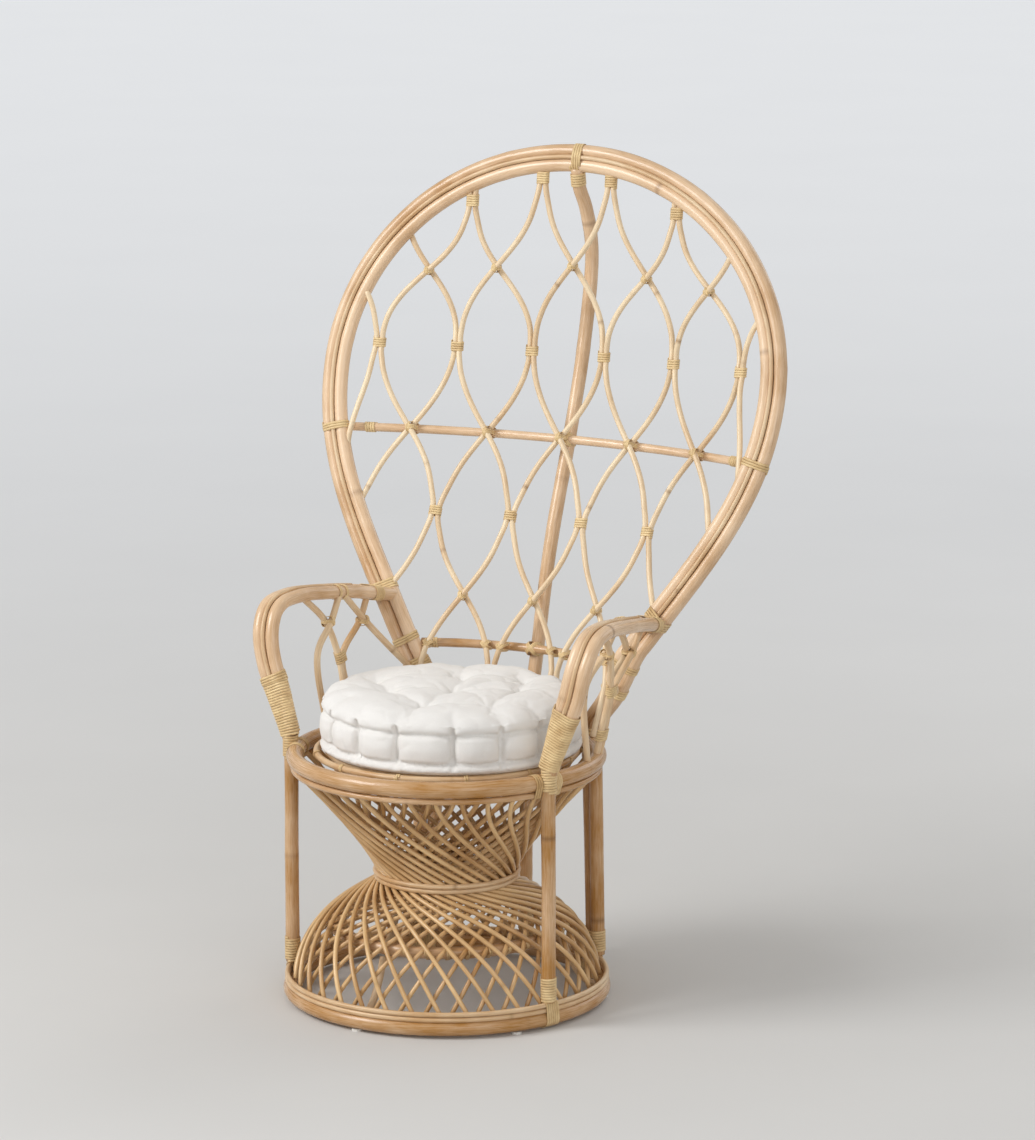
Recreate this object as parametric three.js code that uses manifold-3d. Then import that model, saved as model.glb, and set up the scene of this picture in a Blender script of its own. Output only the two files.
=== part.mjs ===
// A peacock chair of rattan poles and rods, with one loose round cushion.
// Millimetres, +Z up, and the sitter faces -Y. The pieces are laid out round the middle of the seat, and the
// whole is then moved so that the origin is on the floor under the middle of the chair.
// Angles round the seat start at the front (-Y) and turn towards +X.
import * as THREE from "three";
import { mergeVertices } from "three/addons/utils/BufferGeometryUtils.js";
import Module from "manifold-3d";

const wasm = await Module();
wasm.setup();

// Clearance between pieces that rest on each other.
const GAP = 0.3;

// How far behind the middle of the seat the middle of the whole chair is.
const ORIGIN_BEHIND_SEAT = 123.8;

// Rattan stock, as radii.
const POLE = 12.5;
const SPOKE = 4.2;
const LATTICE_ROD = 5.2;
const PANEL_ROD = 6;
const GROOVE_ROD = 4;
const CROSSBAR = 8;
const CANE = 2.2;

// Base ring on its glides, and the two thin rods on top of it.
const GLIDE_COUNT = 6;
const GLIDE_FIRST_ANGLE = -4;
const GLIDE_RADIUS = 9;
const GLIDE_HEIGHT = 4;
const BASE_RADIUS = 278.5;
const BASE_POLE = 13.5;
const BASE_ROD = 4.5;
const BASE_ROD_SHIFT = 6.4;

// Woven hourglass: a straight-sided neck over a domed skirt, from two families of crossing spokes.
const SPOKE_COUNT = 36;
const SPOKE_FIRST_ANGLE = -0.5;
const NECK_TURN = 75;
const SKIRT_TURN = 42;
const SKIRT_TIGHTENING = 51;
const SKIRT_EASING = 14.5;
const WEAVE_TURN = NECK_TURN + SKIRT_TURN + SKIRT_TIGHTENING - SKIRT_EASING;
const NECK_RADIUS = 107;
const NECK_HEIGHT = 188;
const NECK_TOP_INSET = 1;
const NECK_TOP_DROP = 13.5;
const WAIST_HEIGHT = 216;
const WAIST_ROD = 4.5;
const WAIST_CANE = 1.3;
const SKIRT_UPPER_PULL = [146.7, 184];
const SKIRT_LOWER_PULL = [261.1, 152.9];
const SKIRT_FOOT_INSET = 10;
const SHOULDER_HEIGHT = 130;
const SHOULDER_POLE = 11;
const BRACE_COUNT = 3;
const BRACE_FIRST_ANGLE = -3;
const BRACE_ROD = 6.5;
const BRACE_BOW = [225, 20];

// Seat: one thick ring, a thin rod under it, two thin rings inside it and two bearers under those.
const SEAT_HEIGHT = 439;
const SEAT_RADIUS = 269;
const SEAT_POLE = 14.5;
const UNDER_ROD = 5.5;
const UNDER_ROD_SHIFT = 2;
const INNER_RING = 6;
const INNER_RING_RADII = [230, 206];
const BEARER_ROD = 7;
const BEARER_SPACING = 174;

// Legs that stand on the base rods. The front ones run on upwards as the arms, the rear ones as the hoop.
const LEG_FOOT_RADIUS = 281;
const REAR_LEG_FOOT_RADIUS = 285;
const FRONT_LEG_ANGLE = 69.4;
const FRONT_LEG_SEAT_RADIUS = 281.5;
const REAR_LEG_FOOT_ANGLE = 137.5;
const REAR_LEG_SEAT_ANGLE = 146;

// Back: a hoop of two poles on a plane that leans back, and a spine pole bowed out behind it.
// The hoop is half an ellipse over two sides that draw in, straighten and run on as the rear legs.
const LEAN = 15.57;
const BACK_PLANE_AT_FLOOR = 75.5;
const HOOP_HALF_WIDTH = 463.6;
const HOOP_WIDEST_HEIGHT = 1060;
const HOOP_RISE = 403.5;
const HOOP_TANGENT = [309.4, 680];
const HOOP_TAPER = 0.684;
const HOOP_UPPER_PULL = 150;
const HOOP_LOWER_PULL = 120;
const HOOP_LOOSE_DROP = 80;
const HOOP_SETTLE = 6;
const GROOVE_END_HEIGHT = 630;

// How far the lattice is dished at its middle, by height, and how far the spine lies behind the plane.
const DISH = [
  [1440, 0],
  [1250, 33],
  [1100, 60],
  [940, 72],
  [800, 60],
  [660, 51],
  [573, 50],
  [520, 52],
];
const SPINE_BOW = [
  [1400, 16],
  [1357, 54],
  [1276, 99],
  [1095, 117],
  [935, 108],
  [752, 91],
];

// Lattice of wavy rods: half a wave is one row high, and neighbours meet in pairs half a pitch apart.
// Each row of pairs has its own height and pitch.
const LATTICE_TOP = 1408;
const LATTICE_SIDE_TOP = 1361;
const LATTICE_TOP_PITCH = 0.304 * HOOP_HALF_WIDTH;
const LATTICE_UPPER_PAIR = 1098;
const LATTICE_UPPER_PITCH = 0.3236 * HOOP_HALF_WIDTH;
const LATTICE_LOWER_PAIR = 803;
const LATTICE_LOWER_PITCH = 0.3171 * HOOP_HALF_WIDTH;
const LATTICE_FOOT = 528;
const LATTICE_FOOT_PITCH = 0.4907 * SEAT_RADIUS;
const FOOT_SPREAD = 2.2;
const SHORT_ROD_END = [0.8736 * HOOP_HALF_WIDTH, 905];
const BAR_CLEARANCE = 4;
const LATTICE_PAIR_RUN = 14;
const LATTICE_EASES = [0.7, 0.5, 0.5];
const CROSSING_RISE = 2.2;
const UPPER_BAR_HEIGHT = 941;
const LOWER_BAR_HEIGHT = 573;

// Arms: two poles side by side, which splay out, bend back and slope down to the hoop.
const ARM_RISE = 259;
const ARM_SPLAY = 70;
const ARM_WRAP_LIFT = 10.5;
const ARM_WRAP_LOOPS = 14;
const ARM_REACH_DROP = 42;
const ARM_SKIVE = 9;
const ARM_TOP_HEIGHT = SEAT_HEIGHT + ARM_RISE;
const ARM_KNEE_HEIGHT = SEAT_HEIGHT + 0.8 * ARM_RISE;
const ARM_SPLAY_HEIGHT = SEAT_HEIGHT + 0.5676 * ARM_RISE;
const ARM_SPLIT_HEIGHT = SEAT_HEIGHT + 0.525 * ARM_RISE;
const ARM_WRAP_TOP = SEAT_HEIGHT + 0.4517 * ARM_RISE;
const ARM_WRAP_BOTTOM = SEAT_HEIGHT + SEAT_POLE + ARM_WRAP_LIFT;

// Arm panel rods: where they leave the arm, cross, bind together and land. Spots on the panel have their
// height as a share of the arm's rise.
const PANEL_FRONT_TOP = 14;
const PANEL_MIDDLE_TOP = 110;
const PANEL_MIDDLE_SPREAD = 8;
const PANEL_REAR_TOP = 198;
const PANEL_FRONT_CROSS = [67, 0.7645];
const PANEL_REAR_CROSS = [168, 0.7066];
const PANEL_BUNDLE = [97, 0.498];
const PANEL_FRONT_BULGE = [11, 0.5753];
const PANEL_REAR_BULGE = [195, 0.5058];
const PANEL_REAR_TUCK = 30;
const PANEL_BUNDLE_ANGLE = 110;
const PANEL_FRONT_ANGLE = 97;
const PANEL_REAR_LANDING = 0.3127;

// Loose cushion. Its profile is in shares of the radius and of half the height, from the top to the underside.
const CUSHION_RADIUS = 243;
const CUSHION_HEIGHT = 120;
const CUSHION_SHIFT = [8, 4];
const CUSHION_FACETS = 14;
const CUSHION_DRAW = 0.035;
const CUSHION_PROFILE = [
  [0, 1],
  [0.2, 1],
  [0.4, 0.98],
  [0.58, 0.95],
  [0.75, 0.9],
  [0.88, 0.8],
  [0.955, 0.62],
  [0.99, 0.3],
  [1, -0.1],
  [0.99, -0.5],
  [0.97, -0.85],
  [0.955, -1],
  [0.5, -1],
  [0, -1],
];
const CUSHION_TUFT_DEPTH = 9;
const CUSHION_TUFT_SPACING = 82;

const COLOURS = {
  pole: 0xc99a60,
  rod: 0xdcbb85,
  spoke: 0xc6985f,
  cane: 0xe2c588,
  cotton: 0xe8e4da,
  glide: 0xecebe6,
};

// Steps along the bent pieces.
const SPOKE_BENDS = [0.55, 0.8, 1, 1.18, 1.4, 1.6, 1.8];
const SPOKE_STEPS = SPOKE_BENDS.length + 1;
const RING_STEPS = 28;
const ROD_RING_STEPS = 32;
const BASE_RING_STEPS = 36;
const SEAT_RING_STEPS = 36;
const ARM_STEPS = 23;
const WRAP_STEPS = 8;
const CUSHION_STEPS = 36;
const LATTICE_STEPS = [0, 0.1, 0.36, 0.64, 0.9];

const chair = new THREE.Group();

function add(name, geometry, colour, roughness = 0.5) {
  const material = new THREE.MeshStandardMaterial({ color: COLOURS[colour], roughness, metalness: 0 });
  const mesh = new THREE.Mesh(geometry, material);
  mesh.name = name;
  chair.add(mesh);
}

const radians = THREE.MathUtils.degToRad;
const leanSlope = Math.tan(radians(LEAN));
const baseHeight = GLIDE_HEIGHT + GAP + BASE_POLE;

// A point at an angle round the seat.
function around(radius, angle, z) {
  return new THREE.Vector3(radius * Math.sin(radians(angle)), -radius * Math.cos(radians(angle)), z);
}

// A point of the back, by its distance from the middle, its height and how far it lies behind the plane.
function onBack(u, z, behind = 0) {
  return new THREE.Vector3(u, BACK_PLANE_AT_FLOOR + z * leanSlope + behind, z);
}

function mirrored(points, side) {
  return points.map((p) => new THREE.Vector3(side * p.x, p.y, p.z));
}

function curveThrough(points) {
  const curve = new THREE.CatmullRomCurve3(points, false, "centripetal");
  curve.arcLengthDivisions = 20 * points.length;
  return curve;
}

// A smooth curve whose steps fall on its own points, so that curves with matching points stay side by side.
class KnotCurve extends THREE.CatmullRomCurve3 {
  getPointAt(u, target) {
    return this.getPoint(u, target);
  }

  getTangentAt(u, target) {
    return this.getTangent(u, target);
  }
}

// A rod of round stock along a curve, with closed ends.
function rod(curve, radius, sides, steps) {
  const section = new THREE.Shape();
  for (let i = 0; i < sides; i += 1) {
    const turn = (2 * Math.PI * i) / sides;
    const corner = [radius * Math.cos(turn), radius * Math.sin(turn)];
    if (i === 0) section.moveTo(...corner);
    else section.lineTo(...corner);
  }
  return new THREE.ExtrudeGeometry(section, { steps, extrudePath: curve, bevelEnabled: false });
}

// A rod with one step for each point of its curve.
function knotRod(curve, radius, sides) {
  return rod(curve, radius, sides, curve.points.length - 1);
}

function straightRod(from, to, radius, sides) {
  return rod(new THREE.LineCurve3(from, to), radius, sides, 1);
}

function ring(radius, z, tube, sides, steps) {
  return new THREE.TorusGeometry(radius, tube, sides, steps).translate(0, 0, z);
}

function solidOf(geometry) {
  const bare = geometry.clone();
  bare.deleteAttribute("normal");
  bare.deleteAttribute("uv");
  const merged = mergeVertices(bare, 1e-4);
  const mesh = new wasm.Mesh({
    numProp: 3,
    vertProperties: merged.attributes.position.array,
    triVerts: new Uint32Array(merged.index.array),
  });
  return new wasm.Manifold(mesh);
}

function geometryOf(solid) {
  const mesh = solid.getMesh();
  const geometry = new THREE.BufferGeometry();
  geometry.setAttribute("position", new THREE.BufferAttribute(mesh.vertProperties, 3));
  geometry.setIndex(new THREE.BufferAttribute(mesh.triVerts, 1));
  geometry.computeVertexNormals();
  return geometry;
}

// A piece with its ends or sides shaped to the pieces that it is let into.
// Slivers that the cut leaves beyond a neighbour are dropped.
function coped(geometry, ...neighbours) {
  const shaped = neighbours.reduce((solid, next) => solid.subtract(solidOf(next)), solidOf(geometry));
  const pieces = shaped.decompose();
  pieces.sort((a, b) => b.volume() - a.volume());
  return geometryOf(pieces[0]);
}

// Between a value that leaves a piece clear of others and one that runs it into them, the last clear one.
function lastClear(make, others, clear, blocked) {
  const solids = others.map(solidOf);
  let free = clear;
  let hit = blocked;
  for (let i = 0; i < 24; i += 1) {
    const middle = (free + hit) / 2;
    const piece = solidOf(make(middle));
    if (solids.some((solid) => solid.intersect(piece).volume() > 0)) hit = middle;
    else free = middle;
  }
  return free;
}

// Base ring, its rods and its glides.

const baseRodRadius = BASE_RADIUS + BASE_ROD_SHIFT;
const fatSeatRing = ring(SEAT_RADIUS, SEAT_HEIGHT, SEAT_POLE + GAP, 8, SEAT_RING_STEPS);
const fatBaseRing = ring(BASE_RADIUS, baseHeight, BASE_POLE + GAP, 8, BASE_RING_STEPS);
const underRodRadius = SEAT_RADIUS + UNDER_ROD_SHIFT;
const underRodHeight = SEAT_HEIGHT - SEAT_POLE - UNDER_ROD - GAP;
const fatUnderRod = ring(underRodRadius, underRodHeight, UNDER_ROD + 2 * GAP, 4, ROD_RING_STEPS);
const baseRodAt = (z) => ring(baseRodRadius, z, BASE_ROD, 4, ROD_RING_STEPS);
const baseRodStart = baseHeight + 2 * BASE_POLE;
const lowerBaseRodHeight = lastClear(baseRodAt, [fatBaseRing], baseRodStart, baseHeight);
const upperBaseRodHeight = lowerBaseRodHeight + 2 * BASE_ROD + GAP;
const legFootHeight = upperBaseRodHeight + BASE_ROD + GAP;

function addBase() {
  add("base_ring", ring(BASE_RADIUS, baseHeight, BASE_POLE, 8, BASE_RING_STEPS), "pole");
  add("base_rod_lower", ring(baseRodRadius, lowerBaseRodHeight, BASE_ROD, 4, ROD_RING_STEPS), "rod");
  add("base_rod_upper", ring(baseRodRadius, upperBaseRodHeight, BASE_ROD, 4, ROD_RING_STEPS), "rod");
  for (let i = 0; i < GLIDE_COUNT; i += 1) {
    const place = around(BASE_RADIUS, GLIDE_FIRST_ANGLE + (360 * i) / GLIDE_COUNT, GLIDE_HEIGHT / 2);
    const disc = new THREE.CylinderGeometry(GLIDE_RADIUS, GLIDE_RADIUS, GLIDE_HEIGHT, 10);
    disc.rotateX(Math.PI / 2).translate(place.x, place.y, place.z);
    add(`floor_glide_${i + 1}`, disc, "glide", 0.4);
  }
}

// Woven hourglass. Its middle surface runs from 0 at the seat over 1 at the waist to 2 at the floor.

const neckTopHeight = SEAT_HEIGHT - NECK_TOP_DROP;
const neckTopRadius = SEAT_RADIUS - NECK_TOP_INSET;
const neckFlare = Math.sqrt(neckTopRadius ** 2 - NECK_RADIUS ** 2) / (neckTopHeight - NECK_HEIGHT);

function neckRadius(z) {
  return Math.hypot(NECK_RADIUS, neckFlare * (z - NECK_HEIGHT));
}

const skirtCurve = new THREE.CubicBezierCurve(
  new THREE.Vector2(neckRadius(WAIST_HEIGHT), WAIST_HEIGHT),
  new THREE.Vector2(...SKIRT_UPPER_PULL),
  new THREE.Vector2(...SKIRT_LOWER_PULL),
  new THREE.Vector2(BASE_RADIUS - SKIRT_FOOT_INSET, baseHeight + BASE_POLE / 2),
);

function weaveProfile(s) {
  if (s > 1) return skirtCurve.getPoint(s - 1);
  const z = THREE.MathUtils.lerp(SEAT_HEIGHT, WAIST_HEIGHT, s);
  return new THREE.Vector2(neckRadius(z), z);
}

// How far round a spoke has turned on its way down. It turns fastest at the waist.
function weaveTurn(s) {
  const left = 2 - s;
  if (s > 1) return WEAVE_TURN - SKIRT_TURN * left - SKIRT_TIGHTENING * left ** 4 + SKIRT_EASING * left ** 8;
  return NECK_TURN * s ** 2.4;
}

// The middle surface moved out along its normal.
function weaveOffset(s, offset) {
  const step = 0.01;
  const along = weaveProfile(Math.min(s + step, 2)).sub(weaveProfile(Math.max(s - step, 0))).normalize();
  const place = weaveProfile(s);
  return new THREE.Vector2(place.x - along.y * offset, place.y + along.x * offset);
}

// One spoke. Both families bend at the same heights, so that they stay apart where they cross.
class SpokeCurve extends THREE.Curve {
  constructor(side, footAngle, top, foot) {
    super();
    this.side = side;
    this.footAngle = footAngle;
    this.bends = [top, ...SPOKE_BENDS, foot];
  }

  profileAt(t) {
    const steps = this.bends.length - 1;
    const from = Math.min(Math.floor(t * steps), steps - 1);
    return THREE.MathUtils.lerp(this.bends[from], this.bends[from + 1], t * steps - from);
  }

  getPoint(t, target = new THREE.Vector3()) {
    const s = this.profileAt(t);
    const place = weaveSide(this.side)(s);
    const angle = this.side * (this.footAngle - WEAVE_TURN + weaveTurn(s));
    return target.copy(around(place.x, angle, place.y));
  }

  getPointAt(u, target) {
    return this.getPoint(u, target);
  }

  getTangentAt(u, target) {
    return this.getTangent(u, target);
  }
}

// The line that one family keeps to: side 1 outside the middle surface, side -1 inside it.
function weaveSide(side) {
  return (s) => weaveOffset(s, side * (SPOKE + 1.75 * GAP));
}

// Half the spokes of one family, from the seat ring to the base ring, held together by cane at the waist.
// The halves are told apart by where the spokes' feet stand, in front or in the rear.
function spokeHalf(side, half) {
  const spoke = (angle, top, foot, sides) =>
    rod(new SpokeCurve(side, angle, top, foot), SPOKE, sides, SPOKE_STEPS);
  const first = SPOKE_FIRST_ANGLE;
  const top = lastClear((s) => spoke(first, s, 1.9, 12), [fatSeatRing, fatUnderRod], 0.3, 0);
  const foot = lastClear((s) => spoke(first, top, s, 12), [fatBaseRing], 1.85, 2);
  const count = SPOKE_COUNT / 2;
  const start = half === "front" ? first - 90 : first + 90;
  const angles = Array.from({ length: count }, (_, i) => start + (360 * i) / SPOKE_COUNT);
  const waist = weaveSide(side)(1);
  const tied = angles.map((angle) => around(waist.x, side * (angle - WEAVE_TURN + weaveTurn(1)), waist.y));
  const solids = angles.map((angle) => solidOf(spoke(angle, top, foot, 3)));
  const cane = solidOf(knotRod(new KnotCurve(tied), WAIST_CANE, 3));
  return geometryOf(solids.reduce((all, next) => all.add(next), cane));
}

function addWeave() {
  const halves = ["front", "rear"];
  const outer = halves.map((half) => spokeHalf(1, half));
  const inner = halves.map((half) => spokeHalf(-1, half));
  halves.forEach((half, i) => {
    add(`weave_spokes_outer_${half}`, outer[i], "spoke", 0.6);
    add(`weave_spokes_inner_${half}`, inner[i], "spoke", 0.6);
  });

  const lowerHeight = WAIST_HEIGHT + WAIST_ROD;
  const upperHeight = lowerHeight + 2 * WAIST_ROD + GAP;
  const heights = { waist_rod_lower: lowerHeight, waist_rod_upper: upperHeight };
  for (const [name, z] of Object.entries(heights)) {
    const bandAt = (radius, tube) => ring(radius, z, tube, 4, RING_STEPS);
    const radius = lastClear((r) => bandAt(r, WAIST_ROD + GAP), outer, 2 * NECK_RADIUS, NECK_RADIUS);
    add(name, bandAt(radius, WAIST_ROD), "rod");
  }

  const shoulderAt = (radius, tube) => ring(radius, SHOULDER_HEIGHT, tube, 6, RING_STEPS);
  const fatShoulderAt = (radius) => shoulderAt(radius, SHOULDER_POLE + GAP);
  const shoulderRadius = lastClear(fatShoulderAt, inner, NECK_RADIUS, BASE_RADIUS);
  add("skirt_shoulder_ring", shoulderAt(shoulderRadius, SHOULDER_POLE), "pole");
  for (let i = 0; i < BRACE_COUNT; i += 1) {
    const angle = BRACE_FIRST_ANGLE + (360 * i) / BRACE_COUNT;
    const bend = new THREE.QuadraticBezierCurve3(
      around(BASE_RADIUS, angle, baseHeight),
      around(BRACE_BOW[0], angle, BRACE_BOW[1]),
      around(shoulderRadius, angle, SHOULDER_HEIGHT),
    );
    const brace = coped(rod(bend, BRACE_ROD, 5, 6), fatBaseRing, fatShoulderAt(shoulderRadius));
    add(`skirt_brace_${i + 1}`, brace, "rod");
  }
}

// Hoop poles, legs and arms.

// Right half of the outer hoop pole's middle line, as widths and heights, from the top of the hoop down.
function hoopLine() {
  const line = [];
  for (let angle = 90; angle > 0; angle -= 7.5) {
    const z = HOOP_WIDEST_HEIGHT + HOOP_RISE * Math.sin(radians(angle));
    line.push(new THREE.Vector2(HOOP_HALF_WIDTH * Math.cos(radians(angle)), z));
  }
  const [tangentU, tangentZ] = HOOP_TANGENT;
  const side = new THREE.CubicBezierCurve(
    new THREE.Vector2(HOOP_HALF_WIDTH, HOOP_WIDEST_HEIGHT),
    new THREE.Vector2(HOOP_HALF_WIDTH, HOOP_WIDEST_HEIGHT - HOOP_UPPER_PULL),
    new THREE.Vector2(tangentU + HOOP_TAPER * HOOP_LOWER_PULL, tangentZ + HOOP_LOWER_PULL),
    new THREE.Vector2(tangentU, tangentZ),
  );
  line.push(...side.getPoints(8));
  for (const drop of [0.5 * HOOP_LOOSE_DROP, HOOP_LOOSE_DROP, 1.5 * HOOP_LOOSE_DROP]) {
    line.push(new THREE.Vector2(tangentU - HOOP_TAPER * drop, tangentZ - drop));
  }
  return line;
}

// The same line moved inwards on the leaning plane.
function hoopLineInside(inset) {
  const line = hoopLine();
  const lean = Math.cos(radians(LEAN));
  return line.map((point, i) => {
    const before = i === 0 ? new THREE.Vector2(-line[1].x, line[1].y) : line[i - 1];
    const after = line[Math.min(i + 1, line.length - 1)];
    const along = new THREE.Vector2(after.x - before.x, (after.y - before.y) / lean).normalize();
    return new THREE.Vector2(point.x + along.y * inset, point.y - along.x * inset * lean);
  });
}

// Half-width of that line at a height.
function hoopHalfWidth(z, inset) {
  const line = hoopLineInside(inset);
  const next = line.findIndex((point) => point.y <= z);
  if (next === 0) return 0;
  if (next < 0) return line[line.length - 1].x;
  const [from, to] = [line[next - 1], line[next]];
  return THREE.MathUtils.mapLinear(z, from.y, to.y, from.x, to.x);
}

function hoopHalf(inset, endHeight) {
  const kept = hoopLineInside(inset).filter((point) => point.y > endHeight);
  return kept.map((point) => onBack(point.x, point.y));
}

function wholeHoop(rightHalf) {
  const left = mirrored(rightHalf.slice(1), -1).reverse();
  return new KnotCurve([...left, ...rightHalf]);
}

// A hoop pole leaves the plane above the seat, passes outside the seat ring and becomes a rear leg. The
// inner pole stands beside the outer one, which is given as an angle round the seat.
function hoopPole(inset, beside) {
  const half = hoopHalf(inset, HOOP_TANGENT[1] - 1.2 * HOOP_LOOSE_DROP);
  const start = half[half.length - 1];
  const pass = SEAT_RADIUS + SEAT_POLE + POLE + 2 * GAP;
  const seatAngle = REAR_LEG_SEAT_ANGLE + beside;
  const footAngle = REAR_LEG_FOOT_ANGLE + beside;
  const seatPass = around(pass, seatAngle, SEAT_HEIGHT + SEAT_POLE);
  const between = start.clone().lerp(seatPass, 0.55);
  between.x += HOOP_SETTLE;
  half.push(between, seatPass);
  half.push(around(pass - POLE / 2, (2 * seatAngle + footAngle) / 3, SEAT_HEIGHT - 3 * SEAT_POLE));
  half.push(around(REAR_LEG_FOOT_RADIUS, (seatAngle + 4 * footAngle) / 5, SEAT_HEIGHT / 2));
  half.push(around(REAR_LEG_FOOT_RADIUS, footAngle, legFootHeight + 2 * GAP));
  return wholeHoop(half);
}

const hoopInnerInset = 2 * POLE + GAP;
const hoopGrooveInset = POLE + GAP / 2;
const besideAngle = THREE.MathUtils.radToDeg((2 * POLE + 2 * GAP) / LEG_FOOT_RADIUS);
const hoopOuter = hoopPole(0, 0);
const hoopInner = hoopPole(hoopInnerInset, besideAngle);
const hoopGroove = wholeHoop(
  hoopHalf(hoopGrooveInset, GROOVE_END_HEIGHT).map((point) => {
    const lift = new THREE.Vector3(0, -Math.cos(radians(LEAN)), Math.sin(radians(LEAN)));
    return point.addScaledVector(lift, grooveLift());
  }),
);
const fatHoopGroove = knotRod(hoopGroove, GROOVE_ROD + GAP, 4);
const fatHoopOuter = knotRod(hoopOuter, POLE + GAP, 8);
const fatHoopInner = knotRod(hoopInner, POLE + GAP, 8);

// Right front leg, which splays out above the seat, bends back at the knee and runs to the hoop.
function armPoints() {
  const foot = around(LEG_FOOT_RADIUS, FRONT_LEG_ANGLE, legFootHeight);
  const seat = around(FRONT_LEG_SEAT_RADIUS, FRONT_LEG_ANGLE, SEAT_HEIGHT);
  const splayed = (share, back, z) => new THREE.Vector3(seat.x + ARM_SPLAY * share, seat.y + back, z);
  const hoopHeight = ARM_TOP_HEIGHT - ARM_REACH_DROP;
  const end = onBack(hoopHalfWidth(hoopHeight, 0), hoopHeight);
  const reach = end.y - seat.y;
  const slope = (share) => ARM_TOP_HEIGHT - ARM_REACH_DROP * share ** 2;
  const overTop = (share) =>
    new THREE.Vector3(
      THREE.MathUtils.lerp(seat.x + ARM_SPLAY, end.x, share ** 1.5),
      THREE.MathUtils.lerp(seat.y, end.y, share),
      slope(share),
    );
  return [
    foot,
    foot.clone().lerp(seat, 0.5),
    seat,
    splayed(0.06, 0, ARM_WRAP_BOTTOM),
    splayed(0.42, 0, (ARM_WRAP_BOTTOM + ARM_SPLAY_HEIGHT) / 2),
    splayed(0.78, 0, ARM_SPLAY_HEIGHT),
    splayed(0.96, 0.02 * reach, ARM_KNEE_HEIGHT),
    splayed(1.01, 0.1 * reach, ARM_TOP_HEIGHT - 0.25 * (ARM_TOP_HEIGHT - ARM_KNEE_HEIGHT)),
    overTop(0.25),
    overTop(0.5),
    overTop(0.75),
    end,
  ];
}

// Where a curve that rises steadily between two of its shares reaches a height.
function shareAtHeight(curve, z, low, high) {
  let below = low;
  let above = high;
  for (let i = 0; i < 40; i += 1) {
    const middle = (below + above) / 2;
    if (curve.getPoint(middle).z < z) below = middle;
    else above = middle;
  }
  return above;
}

const KNEE_SHARE = 6 / 11;
const SEAT_SHARE = 2 / 11;

// Distance of the inner arm pole from the outer one: it closes in to a skived end at the seat.
function armSpread(z) {
  const full = 2 * POLE + GAP;
  const share = THREE.MathUtils.smoothstep(z, ARM_WRAP_BOTTOM - POLE, ARM_SPLIT_HEIGHT);
  return THREE.MathUtils.lerp(ARM_SKIVE, full, share);
}

function armInnerCurve(side) {
  const arm = curveThrough(armPoints());
  const start = shareAtHeight(arm, SEAT_HEIGHT + SEAT_POLE + POLE, SEAT_SHARE, KNEE_SHARE);
  const points = [];
  const count = 15;
  for (let i = 0; i <= count; i += 1) {
    const share = THREE.MathUtils.lerp(start, 1, i / count);
    const point = arm.getPoint(share);
    const spread = share < KNEE_SHARE ? armSpread(point.z) : 2 * POLE + GAP;
    points.push(new THREE.Vector3(point.x - spread, point.y, point.z));
  }
  const hoopHeight = ARM_TOP_HEIGHT - ARM_REACH_DROP;
  points[count] = onBack(hoopHalfWidth(hoopHeight, hoopInnerInset), hoopHeight);
  return curveThrough(mirrored(points, side));
}

// The thin rod that fills the groove between the two arm poles, on the outside of the bend.
function armGrooveCurve(side) {
  const arm = curveThrough(armPoints());
  const start = shareAtHeight(arm, ARM_WRAP_TOP + 4 * CANE, SEAT_SHARE, KNEE_SHARE);
  const lift = grooveLift() - 2 * GAP;
  const points = [];
  const count = 9;
  for (let i = 0; i <= count; i += 1) {
    const share = THREE.MathUtils.lerp(start, 0.9, i / count);
    const point = arm.getPoint(share);
    const tangent = arm.getTangent(share);
    const outward = new THREE.Vector3(0, -tangent.z, tangent.y).normalize();
    const middle = new THREE.Vector3(point.x - (POLE + GAP / 2), point.y, point.z);
    points.push(middle.addScaledVector(outward, lift));
  }
  return curveThrough(mirrored(points, side));
}

// How far the groove rod stands out from the plane of the two poles that it lies between.
function grooveLift() {
  const reach = POLE + GROOVE_ROD + 2 * GAP;
  return Math.sqrt(reach ** 2 - (POLE + GAP / 2) ** 2);
}

// Cane wound round both arm poles from the seat upwards, as one unbroken strand.
class ArmWinding extends THREE.Curve {
  constructor(side) {
    super();
    this.side = side;
    this.arm = curveThrough(armPoints());
  }

  getPoint(t, target = new THREE.Vector3()) {
    const height = THREE.MathUtils.lerp(ARM_WRAP_BOTTOM, ARM_WRAP_TOP, t);
    const share = shareAtHeight(this.arm, height, SEAT_SHARE, KNEE_SHARE);
    const middle = this.arm.getPoint(share);
    const tangent = this.arm.getTangent(share);
    const inward = new THREE.Vector3(-tangent.z, 0, tangent.x).normalize();
    const across = new THREE.Vector3().crossVectors(tangent, inward).normalize();
    const spread = armSpread(middle.z) * Math.abs(inward.x);
    const [along, sideways] = roundTwoPoles(t * ARM_WRAP_LOOPS, spread);
    middle.addScaledVector(inward, along).addScaledVector(across, sideways);
    return target.set(this.side * middle.x, middle.y, middle.z);
  }

  getPointAt(u, target) {
    return this.getPoint(u, target);
  }

  getTangentAt(u, target) {
    return this.getTangent(u, target);
  }
}

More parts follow.
